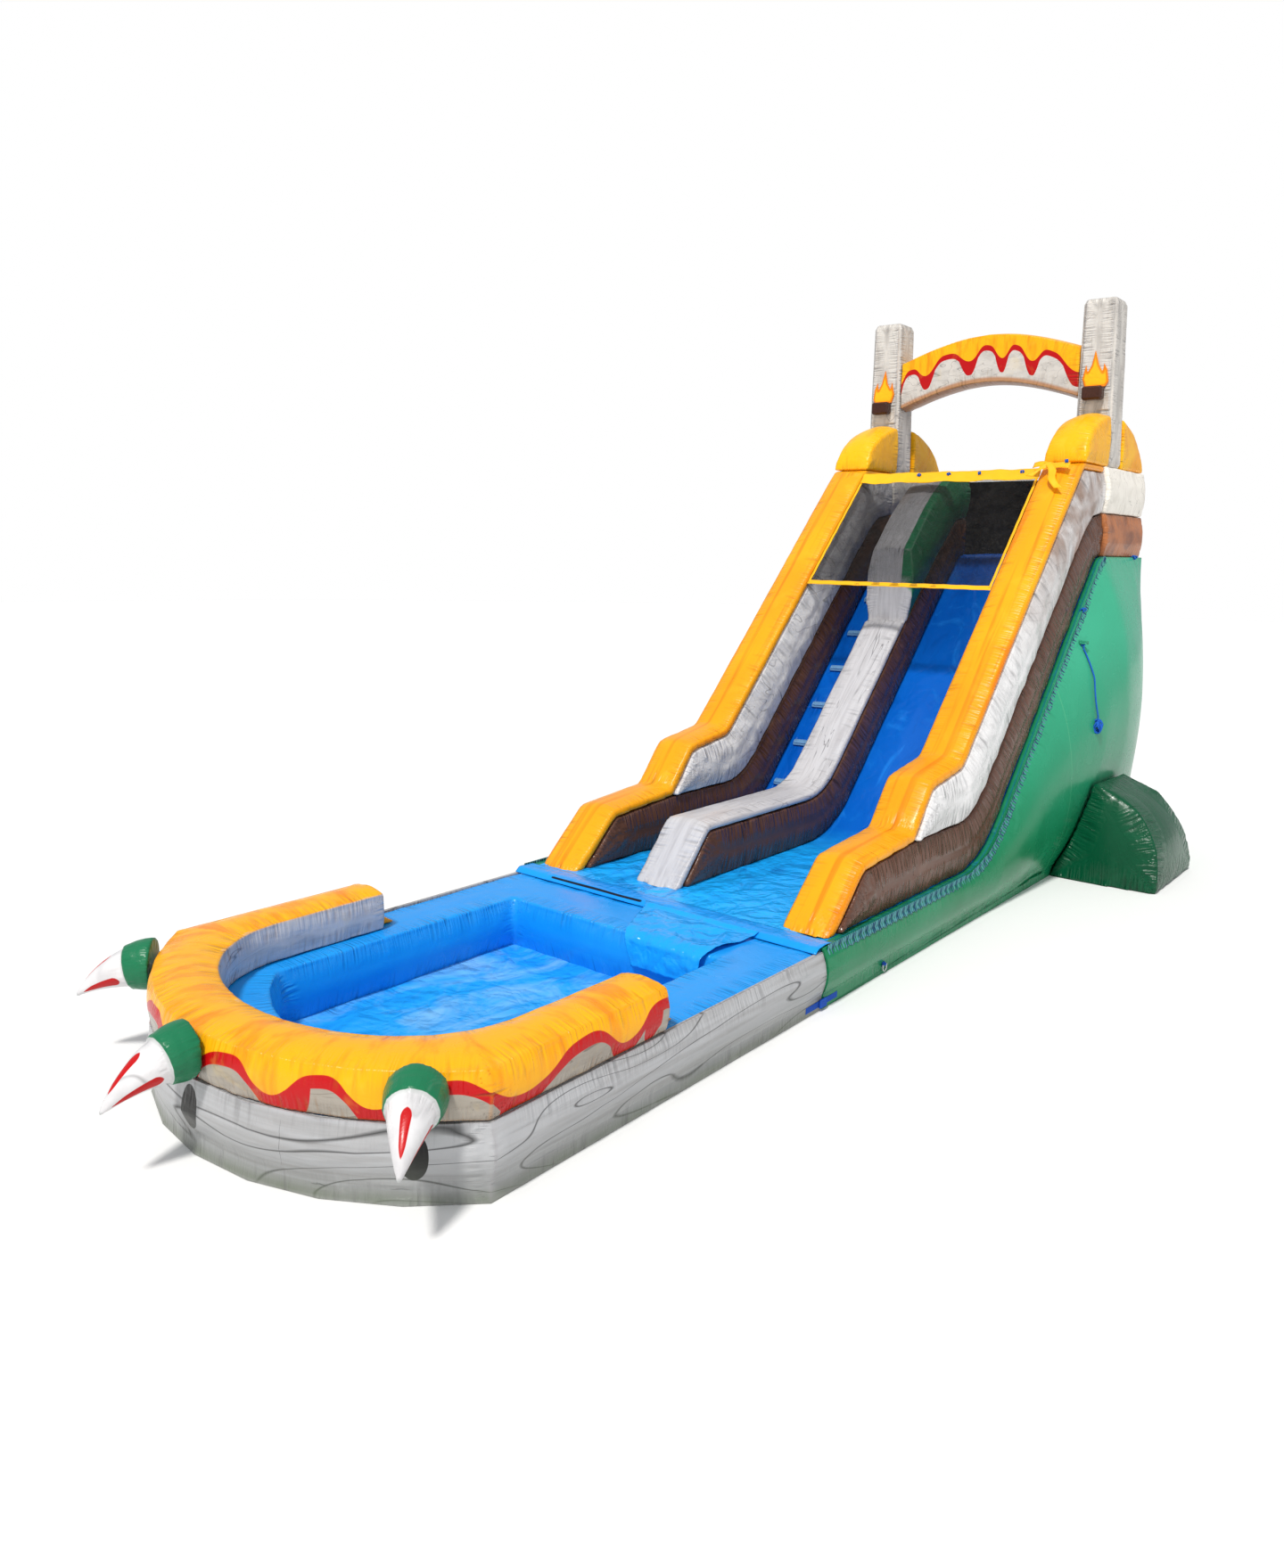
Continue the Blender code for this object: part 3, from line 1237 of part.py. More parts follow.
def claw_root(shift):
    """Where a claw starts on the nose, and the way it points, so many stations from the middle."""
    stations = shoe_stations()
    spot, into = (Vector(point) for point in stations[len(stations) // 2 + shift])
    half, nose = SHOE_OUTER_HALF, SHOE_OUTER_NOSE
    radius = (half * half + nose * nose) / (2 * nose)
    centre = Vector((0.0, radius - POOL_SIDE - nose))
    out = (spot - centre).normalized()
    reach = SHOE_BULGE * (spot - into).normalized().dot(out) + SEAM_GAP
    root = spot + out * reach
    return Vector((root.x, root.y, CLAW_ROOT_HEIGHT)), Vector((out.x, out.y, 0.0))


def build_claws(finishes):
    """Three curved claws round the nose, each a full collar with a slimmer horn growing from it."""
    shift = CLAW_STATION_SHIFT
    for steps, word in ((shift, "left"), (0, "front"), (-shift, "right")):
        root, out = claw_root(steps)
        side = Vector((-out.y, out.x, 0.0))
        sizes = []
        for share, fill_share in COLLAR_SHARES:
            radius = between(COLLAR_ROOT_RADIUS, COLLAR_FRONT_RADIUS, share)
            sizes.append((share * COLLAR_LENGTH, radius * fill_share))
        for share in HORN_SHARES:
            distance = between(COLLAR_LENGTH, CLAW_LENGTH, share)
            radius = between(HORN_ROOT_RADIUS, HORN_TIP_RADIUS, share ** HORN_TAPER_POWER)
            sizes.append((distance, radius))
        rings = []
        for distance, radius in sizes:
            centre, upward = claw_place(distance, out, root)
            rings.append(circle(centre, side, upward, radius, CLAW_SIDES))
        loft("claw_" + word, rings, finishes["green"])


def build_flap(finishes):
    """The flap over the junction and the wrinkled tongue that drops into the pool."""
    edge = HULL_HALF - SEAM_GAP
    base = FOOT_HEIGHT + SEAM_GAP
    columns = [i / FLAP_COLUMNS for i in range(FLAP_COLUMNS + 1)]
    outer, inner = [], []
    for share in FLAP_SHARES:
        y = between(-FLAP_FRONT, FLAP_DEPTH, share)
        row = []
        for u in columns:
            ripple = 1.0 + math.sin(2 * FLAP_WAVE_COUNT * math.pi * u)
            lift = FLAP_WAVE * ripple * swell(share)
            row.append((between(-edge, edge, u), y, base + FLAP_THICKNESS + lift))
        outer.append(row)
        inner.append([(x, y, base) for x, y, _ in row])
    bm = bmesh.new()
    panel(bm, outer, inner)
    add_object("junction_flap", bm, finishes["blue"])

    outer, inner = [], []
    for share, y, z, lean in tongue_path():
        width = TONGUE_WIDTH - TONGUE_NARROWING * share
        middle = DIVIDER_RIGHT + TONGUE_WIDTH / 2 + TONGUE_DRIFT * share
        row, below = [], []
        for column in range(TONGUE_COLUMNS + 1):
            u = column / TONGUE_COLUMNS
            wave = math.sin(2 * math.pi * TONGUE_FOLD_COUNT * u + TONGUE_FOLD_TURN * share)
            fold = TONGUE_FOLD * (1 + wave) / 2 * (TONGUE_FOLD_SHARE + share) / 2
            x = middle + width * (u - 1 / 2)
            for points, depth in ((row, fold + TONGUE_THICKNESS), (below, fold)):
                points.append((x, y - depth * math.sin(lean), z + depth * math.cos(lean)))
        outer.append(row)
        inner.append(below)
    bm = bmesh.new()
    panel(bm, outer, inner)
    add_object("flap_tongue", bm, finishes["blue"])


def tongue_path():
    """The tongue seen from the side: share of its length, y, z and the angle it leans at."""
    front = -FLAP_FRONT - SEAM_GAP
    base = FOOT_HEIGHT + SEAM_GAP
    over = POOL_HEIGHT + TONGUE_LIFT
    hang = -POOL_REAR_WALL - TONGUE_STANDOFF
    spots = [(front, base, 0.0), (front - TONGUE_STANDOFF, over, 0.0)]
    spots += [(-POOL_REAR_WALL / 2, over, 0.0), (-POOL_REAR_WALL - TONGUE_LIFT, over, 0.0)]
    spots += [(hang + TONGUE_LIFT, over - SKIRT_THICKNESS, TONGUE_EDGE_ANGLE)]
    spots += [(hang, over - TONGUE_DROP / 2, TONGUE_HANG_ANGLE)]
    spots += [(hang, over - TONGUE_DROP, TONGUE_HANG_ANGLE)]
    lengths = [0.0]
    for before, after in zip(spots, spots[1:]):
        lengths.append(lengths[-1] + math.dist(before[:2], after[:2]))
    return [(length / lengths[-1], *spot) for length, spot in zip(lengths, spots)]


def build_straps(finishes):
    """A webbing strap with a buckle that ties the pool to the slide on either side."""
    for side, word in ((1, "right"), (-1, "left")):
        face = HULL_HALF + SEAM_GAP
        x_in, x_out = sorted((side * face, side * (face + STRAP_THICKNESS)))
        z_low = STRAP_HEIGHT - STRAP_WIDTH / 2
        outline = [
            (-STRAP_LENGTH / 2, z_low), (STRAP_LENGTH / 2, z_low),
            (STRAP_LENGTH / 2, z_low + STRAP_WIDTH), (-STRAP_LENGTH / 2, z_low + STRAP_WIDTH),
        ]
        band = bmesh.new()
        prism(band, outline, x_in, x_out)
        strap = add_object("tie_strap_" + word, band, finishes["webbing"])
        x = side * (face + STRAP_THICKNESS / 2 + BUCKLE_THICKNESS / 2)
        size = (BUCKLE_THICKNESS, BUCKLE_LENGTH, BUCKLE_WIDTH)
        buckle = bmesh.new()
        bevelled_box(buckle, (x, 0.0, STRAP_HEIGHT), size, BUCKLE_BEVEL)
        fuse(strap, "buckle_guide_" + word, buckle)


def build_anchors(finishes):
    """Webbing tabs along the base, each holding a steel ring that swings on its bar."""
    hole = (RING_BAR_RADIUS + SEAM_GAP) / math.cos(math.pi / TAB_LOOP_SIDES)
    turn = 2 * math.pi / TAB_LOOP_SIDES
    loop = hole + TAB_LOOP_WALL
    for word, y in ANCHORS:
        for side, hand in ((1, "right"), (-1, "left")):
            axis = Vector((side * (HULL_HALF + TAB_STANDOFF), y, TAB_AXIS_HEIGHT))
            back = -(TAB_STANDOFF - SEAM_GAP)
            around = [math.pi / 2 - turn * i for i in range(TAB_LOOP_SIDES // 2 + 1)]
            outer = [(back, -TAB_HEIGHT / 2), (back, 0.0), (back, TAB_HEIGHT / 2)]
            outer += [(loop * math.cos(a), loop * math.sin(a)) for a in around]
            inner = [(hole * math.cos(a), hole * math.sin(a))
                     for a in [math.pi + turn - turn * i for i in range(TAB_LOOP_SIDES)]]
            half = TAB_WIDTH / 2
            rings = []
            for outline, shift in ((outer, -half), (outer, half), (inner, half), (inner, -half)):
                rings.append([(axis.x + side * a, axis.y + shift, axis.z + b) for a, b in outline])
            loft(word + "_tab_" + hand, rings, finishes["webbing"], closed=True)
            ring = add_ring(word + "_ring_" + hand, axis, finishes["steel"])
            move_onto_joint(ring, axis)


def add_ring(name, axis, material):
    """A D-shaped ring that hangs from its straight bar."""
    half = RING_WIDTH / 2
    deep = RING_DROP - half
    route = [(-half, 0.0), (half, 0.0)]
    for step in range(RING_STEPS + 1):
        angle = math.pi * step / RING_STEPS
        route.append((half * math.cos(angle), -deep - half * math.sin(angle)))
    rings = []
    count = len(route)
    for i, (along, drop) in enumerate(route):
        here = Vector(route[i])
        before = (here - Vector(route[i - 1])).normalized()
        after = (Vector(route[(i + 1) % count]) - here).normalized()
        heading = (before + after).normalized()
        across = Vector((0.0, -heading.y, heading.x))
        stretch = 1.0 / max(heading.dot(before), RING_MITRE_SHARE)
        centre = axis + Vector((0.0, along, drop))
        ring = []
        for step in range(RING_SIDES):
            angle = 2 * math.pi * step / RING_SIDES
            reach = across * (RING_BAR_RADIUS * stretch * math.cos(angle))
            reach += Vector((RING_BAR_RADIUS * math.sin(angle), 0.0, 0.0))
            ring.append(tuple(centre + reach))
        rings.append(ring)
    return loft(name, rings, material, closed=True)


def rope_route():
    """The tie rope's points, hanging from its eye down the bulging hull side."""
    top = DECK.height(ROPE_STATION)
    start = top - ROPE_TOP_DROP
    clear = ROPE_DIAMETER / 2 + ROPE_STANDOFF
    points = []
    for step in range(ROPE_STEPS + 1):
        z = start - ROPE_LENGTH * step / ROPE_STEPS
        y = ROPE_STATION + ROPE_DIAMETER * math.sin(math.pi * step / ROPE_WAVE_STEPS)
        points.append(Vector((HULL_HALF + hull_face(y, z) + clear, y, z)))
    points[0].xy = points[1].xy
    points[-1].xy = points[-2].xy
    return points


def build_rope(finishes):
    """A blue tie rope on the right side of the hull, bunched into a knot at its end."""
    route = rope_route()
    curve = bpy.data.curves.new("tie_rope", "CURVE")
    curve.dimensions = "3D"
    curve.bevel_depth = ROPE_DIAMETER / 2
    curve.bevel_resolution = 2
    curve.use_fill_caps = True
    spline = curve.splines.new("POLY")
    spline.points.add(len(route) - 1)
    for point, place in zip(spline.points, route):
        point.co = (*place, 1.0)
    curve.materials.append(finishes["webbing"])
    rope = bpy.data.objects.new("tie_rope", curve)
    bpy.context.scene.collection.objects.link(rope)

    end, before = route[-1], route[-2]
    heading = (end - before).normalized()
    across = Vector((0.0, 1.0, 0.0))
    out = across.cross(heading).normalized()
    rings = []
    for share, fill in BUNDLE_FILL_SHARES:
        centre = end + heading * (SEAM_GAP + share * BUNDLE_HEIGHT)
        clear = HULL_HALF + hull_face(centre.y, centre.z) + BUNDLE_RADIUS * fill + ROPE_STANDOFF
        rings.append(circle((clear, centre.y, centre.z), out, across, BUNDLE_RADIUS * fill, BUNDLE_SIDES))
    loft("rope_knot", rings, finishes["webbing"])


def centre_on_ground(cords):
    """Move the model so that the footprint of all but its cords is centred on the origin."""
    bpy.context.view_layer.update()
    low = [math.inf, math.inf]
    high = [-math.inf, -math.inf]
    things = list(bpy.context.scene.objects)
    for thing in things:
        if thing.name in cords or thing.type != "MESH" or thing.hide_render:
            continue
        for vertex in thing.data.vertices:
            place = thing.matrix_world @ vertex.co
            for axis in (0, 1):
                low[axis] = min(low[axis], place[axis])
                high[axis] = max(high[axis], place[axis])
    datum = bpy.data.objects.new("slide_datum", None)
    bpy.context.scene.collection.objects.link(datum)
    for thing in things:
        thing.parent = datum
    datum.location = (-(low[0] + high[0]) / 2, -(low[1] + high[1]) / 2, 0.0)
    print("datum", [round(value, 6) for value in datum.location])


def build():
    """Make every piece of the slide and its pool."""
    clear_scene()
    finishes = make_finishes()
    build_hull(finishes)
    build_beds(finishes)
    build_side_walls(finishes)
    build_divider(finishes)
    build_tower(finishes)
    build_pillars(finishes)
    build_torches(finishes)
    build_nets(finishes)
    build_outriggers(finishes)
    build_back_fittings(finishes)
    build_pool(finishes)
    build_horseshoe(finishes)
    build_claws(finishes)
    build_flap(finishes)
    build_straps(finishes)
    build_anchors(finishes)
    build_rope(finishes)
    centre_on_ground(("tie_rope", "rope_knot"))


build()
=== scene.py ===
"""Inflatable water slide: the looks of every piece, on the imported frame.

Metres, +Z up, +Y from the pool towards the tall end.  JUNCTION_Y is where the slide meets its
pool, which is y = 0 in the part's own drawing.
"""

import math

import bmesh
import bpy
import numpy as np
from mathutils import Matrix, Vector, noise
from mathutils.bvhtree import BVHTree


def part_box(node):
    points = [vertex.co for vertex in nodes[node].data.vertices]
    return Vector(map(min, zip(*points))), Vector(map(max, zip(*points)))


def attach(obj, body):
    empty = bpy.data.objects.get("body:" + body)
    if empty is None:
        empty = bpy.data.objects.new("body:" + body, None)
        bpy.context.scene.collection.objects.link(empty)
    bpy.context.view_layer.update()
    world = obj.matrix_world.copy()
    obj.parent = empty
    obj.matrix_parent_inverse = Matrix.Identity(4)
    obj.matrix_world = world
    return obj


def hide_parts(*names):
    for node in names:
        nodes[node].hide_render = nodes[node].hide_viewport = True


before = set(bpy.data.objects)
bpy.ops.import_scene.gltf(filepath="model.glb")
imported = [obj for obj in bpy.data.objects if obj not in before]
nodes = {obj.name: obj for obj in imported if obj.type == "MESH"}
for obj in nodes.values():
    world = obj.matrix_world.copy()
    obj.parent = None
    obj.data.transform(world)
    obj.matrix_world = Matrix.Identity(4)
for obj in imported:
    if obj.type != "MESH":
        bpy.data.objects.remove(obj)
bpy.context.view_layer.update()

JUNCTION_Y = -1.547833
HULL_HALF = 1.55
WALL_OUTER = 1.49
SHOE_TOP = 0.743
SHOE_END = -1.8
SHOE_REAR = JUNCTION_Y + SHOE_END
CREST_FRONT = 2.87
SHOE_HALF = 1.54
SHOE_SHOULDER = -3.23
SHOE_NOSE = -3.96
SHOE_INNER_HALF = 1.18
SHOE_INNER_SHOULDER = -2.7
SHOE_INNER_NOSE = -3.59
CLAWS = (
    ("left", (-1.3159, -3.5071), (-0.6505, -0.7595)),
    ("front", (0.0, -3.9953), (0.0, -1.0)),
    ("right", (1.3159, -3.5071), (0.6505, -0.7595)),
)
CLAW_HEIGHT = 0.61
CLAW_LENGTH = 0.52
CLAW_BEND = math.radians(44.0)
LANE_TILT = math.radians(46.0)
LANE_START = 0.46
LANE_LEVEL_END = 2.442
LANE_BEND = 1.15
LANE_TOP_END = 5.798
LANE_TOP = 3.32
LANE_CREST_BEND = 0.25
HULL_SEAM = 2.90
ARCH_HALF = 1.088
ARCH_FOOT = 5.10
ARCH_RISE = 0.25
CAMERA_PLACE = (5.517, -6.893 + JUNCTION_Y, 3.298)
CAMERA_TURNS = (39.3, -6.165, 1.003)
CAMERA_LENS = 25.72
CAMERA_SHIFT = (-0.0043, -0.0715)
FLAP_SHARES = (0.0, 0.75, 0.84, 1.0)
FLAP_SIDE = ((0.130, 0.466), (-0.045, 0.466), (-0.062, 0.458), (-0.092, 0.437))
FLAP_WIDTH = 3.09
FLAP_RUN = 0.24
TONGUE_WIDTH = 1.10
TONGUE_NARROWING = 0.50
TONGUE_RUN = 0.83
HEM_HEIGHT = 0.160
STRAP_WIDTH = 0.085
TOWER_TOP = 4.30
BRACKET_BASE = 0.73
BRACKET_EDGE = 0.148
FULL_TURN = 6.2832
TONGUE_SIDE = (
    (-0.050, 0.478), (-0.100, 0.446), (-0.32, 0.440), (-0.606, 0.440), (-0.662, 0.410),
    (-0.674, 0.326), (-0.676, 0.216),
)
ROPE = (
    (1.6552, 3.4083, 2.4118), (1.6552, 3.4083, 2.363), (1.6788, 3.4135, 2.3143),
    (1.7016, 3.4169, 2.2655), (1.7235, 3.4182, 2.2168), (1.7442, 3.4169, 2.168),
    (1.7639, 3.4135, 2.1193), (1.7829, 3.4083, 2.0705), (1.7907, 3.4022, 2.0218),
    (1.7974, 3.396, 1.973), (1.8044, 3.3909, 1.9243), (1.8117, 3.3874, 1.8755),
    (1.8195, 3.3862, 1.8268), (1.8279, 3.3874, 1.778), (1.8368, 3.3909, 1.7293),
    (1.8461, 3.396, 1.6805), (1.8461, 3.396, 1.6318),
)
FINE = 0.022
SMALL = 0.012


# Outlines

def bend(centre, radii, start, end, steps):
    """Points on an ellipse between two angles, which are measured from its lowest point."""
    angles = [start + (end - start) * step / steps for step in range(steps + 1)]
    return [(centre[0] + radii[0] * math.sin(angle), centre[1] - radii[1] * math.cos(angle))
            for angle in angles]


def shoe_lines():
    """The right half of the raised tube's outer and inner plan lines, from its end to the nose."""
    rise = SHOE_SHOULDER - SHOE_NOSE
    radius = (SHOE_HALF ** 2 + rise ** 2) / (2 * rise)
    outer = bend((0.0, SHOE_NOSE + radius), (radius, radius), math.asin(SHOE_HALF / radius), 0.0, 5)
    depth = SHOE_INNER_SHOULDER - SHOE_INNER_NOSE
    inner = bend((0.0, SHOE_INNER_SHOULDER), (SHOE_INNER_HALF, depth), math.pi / 2, 0.0, 7)
    return [(SHOE_HALF, SHOE_END)] + outer, [(SHOE_INNER_HALF, SHOE_END)] + inner


def deck_line():
    """The lane's side view: level, an upward bend, the slope, and a small bend on to the platform."""
    low = bend((LANE_LEVEL_END, LANE_START + LANE_BEND), (LANE_BEND, LANE_BEND), 0.0, LANE_TILT, 6)
    high = bend((LANE_TOP_END, LANE_TOP - LANE_CREST_BEND), (-LANE_CREST_BEND, -LANE_CREST_BEND),
                LANE_TILT, 0.0, 2)
    return [(0.0, LANE_START)] + low + high


SHOE_RIGHT_OUTER, SHOE_RIGHT_INNER = shoe_lines()
DECK = deck_line()


# Camera and light

def add_camera():
    """The photograph's viewpoint: just outside the pool's front right corner, looking up the lanes."""
    yaw, pitch, roll = (math.radians(angle) for angle in CAMERA_TURNS)
    ahead = Vector((-math.sin(yaw) * math.cos(pitch), math.cos(yaw) * math.cos(pitch), math.sin(pitch)))
    right = Vector((math.cos(yaw), math.sin(yaw), 0.0))
    up = right.cross(ahead)
    level, upright = right.copy(), up.copy()
    right = level * math.cos(roll) + upright * math.sin(roll)
    up = upright * math.cos(roll) - level * math.sin(roll)
    data = bpy.data.cameras.new("camera")
    data.lens = CAMERA_LENS
    data.sensor_width = 36.0
    data.shift_x, data.shift_y = CAMERA_SHIFT
    data.clip_end = 400.0
    camera = bpy.data.objects.new("camera", data)
    bpy.context.scene.collection.objects.link(camera)
    turn = Matrix((right, up, -ahead)).transposed()
    camera.matrix_world = Matrix.Translation(CAMERA_PLACE) @ turn.to_4x4()
    bpy.context.scene.camera = camera


def add_lights():
    """An even sky, a soft sun from the front left and a plain pale floor."""
    scene = bpy.context.scene
    scene.view_settings.view_transform = "Standard"
    world = bpy.data.worlds.new("sky")
    scene.world = world
    world.use_nodes = True
    tree = world.node_tree
    sky = tree.nodes["Background"]
    sky.inputs["Color"].default_value = (0.93, 0.96, 1.0, 1.0)
    sky.inputs["Strength"].default_value = 0.54
    seen = tree.nodes.new("ShaderNodeBackground")
    seen.inputs["Color"].default_value = (1.0, 1.0, 1.0, 1.0)
    rays = tree.nodes.new("ShaderNodeLightPath")
    either = tree.nodes.new("ShaderNodeMath")
    either.operation = "MAXIMUM"
    mix = tree.nodes.new("ShaderNodeMixShader")
    tree.links.new(rays.outputs["Is Camera Ray"], either.inputs[0])
    tree.links.new(rays.outputs["Is Transmission Ray"], either.inputs[1])
    tree.links.new(either.outputs[0], mix.inputs[0])
    tree.links.new(sky.outputs[0], mix.inputs[1])
    tree.links.new(seen.outputs[0], mix.inputs[2])
    tree.links.new(mix.outputs[0], tree.nodes["World Output"].inputs["Surface"])
    for name, power, softness, aim in (
        ("sun", 2.75, 7.0, (-0.14, 0.52, -0.84)),
        ("fill", 0.60, 60.0, (-0.80, 0.55, -0.22)),
    ):
        lamp = bpy.data.lights.new(name, "SUN")
        lamp.energy = power
        lamp.angle = math.radians(softness)
        lamp.color = (1.0, 0.98, 0.94)
        thing = bpy.data.objects.new(name, lamp)
        scene.collection.objects.link(thing)
        thing.rotation_mode = "QUATERNION"
        thing.rotation_quaternion = Vector(aim).to_track_quat("-Z", "Y")
    bpy.ops.object.select_all(action="DESELECT")
    bpy.ops.mesh.primitive_circle_add(vertices=64, radius=60.0, fill_type="NGON",
                                      location=(0.0, 0.0, -0.002))
    floor = bpy.context.object
    floor.name = "floor"
    material = bpy.data.materials.new("floor")
    material.use_nodes = True
    tree = material.node_tree
    shader = tree.nodes["Principled BSDF"]
    shader.inputs["Base Color"].default_value = (0.86, 0.86, 0.86, 1.0)
    shader.inputs["Roughness"].default_value = 0.9
    floor.data.materials.append(material)


# Shader maths

def paired(operation, swapped=False):
    """An operator on two numbers, as a Math node."""
    if swapped:
        return lambda self, other: self.math(operation, other, self)
    return lambda self, other: self.math(operation, self, other)


def single(operation):
    """An operator on one number, as a Math node."""
    return lambda self: self.math(operation, self)


class Wire:
    """A number that runs between shader nodes, on which Python's operators work."""

    def __init__(self, finish, socket):
        self.finish = finish
        self.socket = socket

    def math(self, operation, *values, clamp=False):
        settings = {"operation": operation, "use_clamp": clamp}
        return self.finish.node("ShaderNodeMath", settings, dict(enumerate(values)))

    __add__ = paired("ADD")
    __radd__ = paired("ADD", swapped=True)
    __sub__ = paired("SUBTRACT")
    __rsub__ = paired("SUBTRACT", swapped=True)
    __mul__ = paired("MULTIPLY")
    __rmul__ = paired("MULTIPLY", swapped=True)
    __truediv__ = paired("DIVIDE")
    __pow__ = paired("POWER")
    __abs__ = single("ABSOLUTE")
    fract = single("FRACT")
    sine = single("SINE")
    flattened = single("TANH")
    most = paired("MAXIMUM")
    least = paired("MINIMUM")

    def clamp(self):
        return self.math("ADD", self, 0.0, clamp=True)

    def above(self, edge, soft):
        """0 below the edge and 1 above it, with a ramp as wide as soft."""
        return self.math("ADD", (self - edge) / soft, 0.5, clamp=True)

    def ramp(self, edge, gain):
        """0 up to the edge, then rising to 1."""
        return ((self - edge) * gain).clamp()

    def around(self, middle, width):
        """1 at the middle, falling to 0 at the width on both sides of it."""
        return (1.0 - abs(self - middle) / width).clamp()


class Finish:
    """A Principled material under construction."""

    def __init__(self, name, slot, colour, roughness, metallic=0.0, coat=0.0):
        self.slot = slot
        self.material = bpy.data.materials.new(name)
        self.material.use_nodes = True
        self.tree = self.material.node_tree
        self.shader = self.tree.nodes["Principled BSDF"]
        self.shader.inputs["Base Color"].default_value = (*colour, 1.0)
        self.shader.inputs["Roughness"].default_value = roughness
        self.shader.inputs["Metallic"].default_value = metallic
        self.shader.inputs["Coat Weight"].default_value = coat
        self.shader.inputs["Coat Roughness"].default_value = 0.15
        self.shader.inputs["Specular IOR Level"].default_value = 0.20

    def node(self, kind, settings=None, values=None, output=0):
        """A node with its settings made first, then the values or links of its sockets."""
        made = self.tree.nodes.new(kind)
        for key, value in (settings or {}).items():
            setattr(made, key, value)
        for key, value in (values or {}).items():
            if isinstance(value, Wire):
                self.tree.links.new(value.socket, made.inputs[key])
            else:
                made.inputs[key].default_value = value
        return Wire(self, made.outputs[output])

    def place(self):
        """Where a point of the surface is, in metres."""
        return self.node("ShaderNodeTexCoord", output="Object")

    def parts(self):
        """The x, y and z of a point of the surface."""
        split = self.node("ShaderNodeSeparateXYZ", values={0: self.place()})
        return tuple(Wire(self, split.socket.node.outputs[i]) for i in range(3))

    def attribute(self, name):
        """A number stored on the mesh."""
        return self.node("ShaderNodeAttribute", {"attribute_name": name}, output="Fac")

    def vector(self, x, y, z):
        return self.node("ShaderNodeCombineXYZ", values={0: x, 1: y, 2: z})

    def stretched(self, by):
        """Coordinates multiplied on each axis, so that a pattern runs long where by is small."""
        return self.node("ShaderNodeVectorMath", {"operation": "MULTIPLY"},
                         {0: self.place(), 1: by})

    def noise(self, where, detail=2.0, rough=0.5, warp=0.0):
        """Noise at given coordinates, or at the surface's own, stretched by a number or by three."""
        if not isinstance(where, Wire):
            where = self.stretched(where if isinstance(where, tuple) else (where, where, where))
        return self.node("ShaderNodeTexNoise", None, {
            "Vector": where, "Scale": 1.0, "Detail": detail, "Roughness": rough, "Distortion": warp,
        })

    def blend(self, share, first, second):
        """One colour over another, by a share."""
        ends = [value if isinstance(value, Wire) else (*value, 1.0) for value in (first, second)]
        return self.node("ShaderNodeMix", {"data_type": "RGBA"}, {0: share, 6: ends[0], 7: ends[1]},
                         output=2)

    def paint(self, colour):
        self.tree.links.new(colour.socket, self.shader.inputs["Base Color"])

    def polish(self, roughness):
        self.tree.links.new(roughness.socket, self.shader.inputs["Roughness"])

    def cut(self, alpha):
        self.tree.links.new(alpha.socket, self.shader.inputs["Alpha"])

    def raise_by(self, height):
        """A bump from a height in metres."""
        bump = self.node("ShaderNodeBump", None, {"Strength": 1.0, "Distance": 1.0, "Height": height})
        self.tree.links.new(bump.socket, self.shader.inputs["Normal"])


# Finishes

def puckers(finish, reach=0.16, pitch=0.05):
    """Short wrinkles square to a seam, 0 to 1, which die out away from it, and where they reach."""
    run = finish.attribute("run")
    seam = finish.attribute("seam")
    near = (1.0 - seam / reach).clamp() ** 0.8 * finish.attribute("ribs")
    line = finish.noise(finish.vector(run / pitch, seam * 2.0, 0.0), 1.0, 0.5, 0.3)
    fine = finish.noise(finish.vector(run / (pitch * 0.42), seam * 4.0, 4.0), 1.0)
    ridge = 1.0 - abs(line * 2.0 - 1.0) * 2.6
    return (ridge + fine) * 0.5, near


def vinyl(name, slot, base, deep, bright, roughness=0.3, pitch=0.05, depth=0.006, slack=0.004,
          paint=None, relief=None, reach=0.17):
    """Coated vinyl: mottled colour, puckered seams with painted shade along them, slack creases and the
    weave of its scrim.
    """
    finish = Finish(name, slot, base, roughness, coat=0.08)
    wide = finish.noise(1.1, 3.0, 0.55)
    seam = finish.attribute("seam")
    colour = finish.blend((wide - 0.35) * 1.6, deep, base)
    if paint:
        colour = paint(finish, colour)
    # Paler patches of the third colour: random tone, and on the pool ring also a painted reflection.
    crest = finish.noise(3.1, 4.0, 0.6, 0.8)
    colour = finish.blend(crest.ramp(0.58, 2.2) * 0.5, colour, bright)
    # Painted shade: a darker line along each seam, where its groove lies in shade.
    edge = (1.0 - seam / 0.02).clamp() * 0.35
    colour = finish.blend(edge, colour, deep)
    ribs, near = puckers(finish, reach, pitch)
    # Painted shade: the low valleys between the puckers are darkened towards the deep colour.
    shade = tuple(0.35 * value for value in deep)
    colour = finish.blend(((0.46 - ribs) * 3.0).clamp() * near * min(0.75, depth * 38.0), colour, shade)
    finish.paint(colour)
    crease = finish.noise(2.3, 5.0, 0.62, 1.6)
    weave = finish.noise(420.0, 0.0)
    height = ribs * near * depth + (crease - 0.5) * slack + (weave - 0.5) * 0.00012
    if relief:
        height = height + relief(finish)
    finish.raise_by(height)
    finish.polish(roughness + (crest - 0.5) * 0.18)
    return finish


def crumple(finish, size, depth):
    """The sharp folds of slack vinyl: flat facets between crossing creases."""
    first = finish.noise(size, 3.0, 0.5, 0.7)
    second = finish.noise((size * 2.1, size * 1.5, size * 2.1), 2.0, 0.5, 0.5)
    folds = abs(first * 2.0 - 1.0) * 1.0 + abs(second * 2.0 - 1.0) * 0.5
    return folds.least(0.7) * depth


def run_out_relief(finish):
    """The level end of the lanes lies slack and crumpled."""
    _, y, _ = finish.parts()
    return crumple(finish, 2.6, 0.040) * (1.0 - y.above(JUNCTION_Y + 2.2, 1.4)) + crumple(finish, 1.7, 0.024)


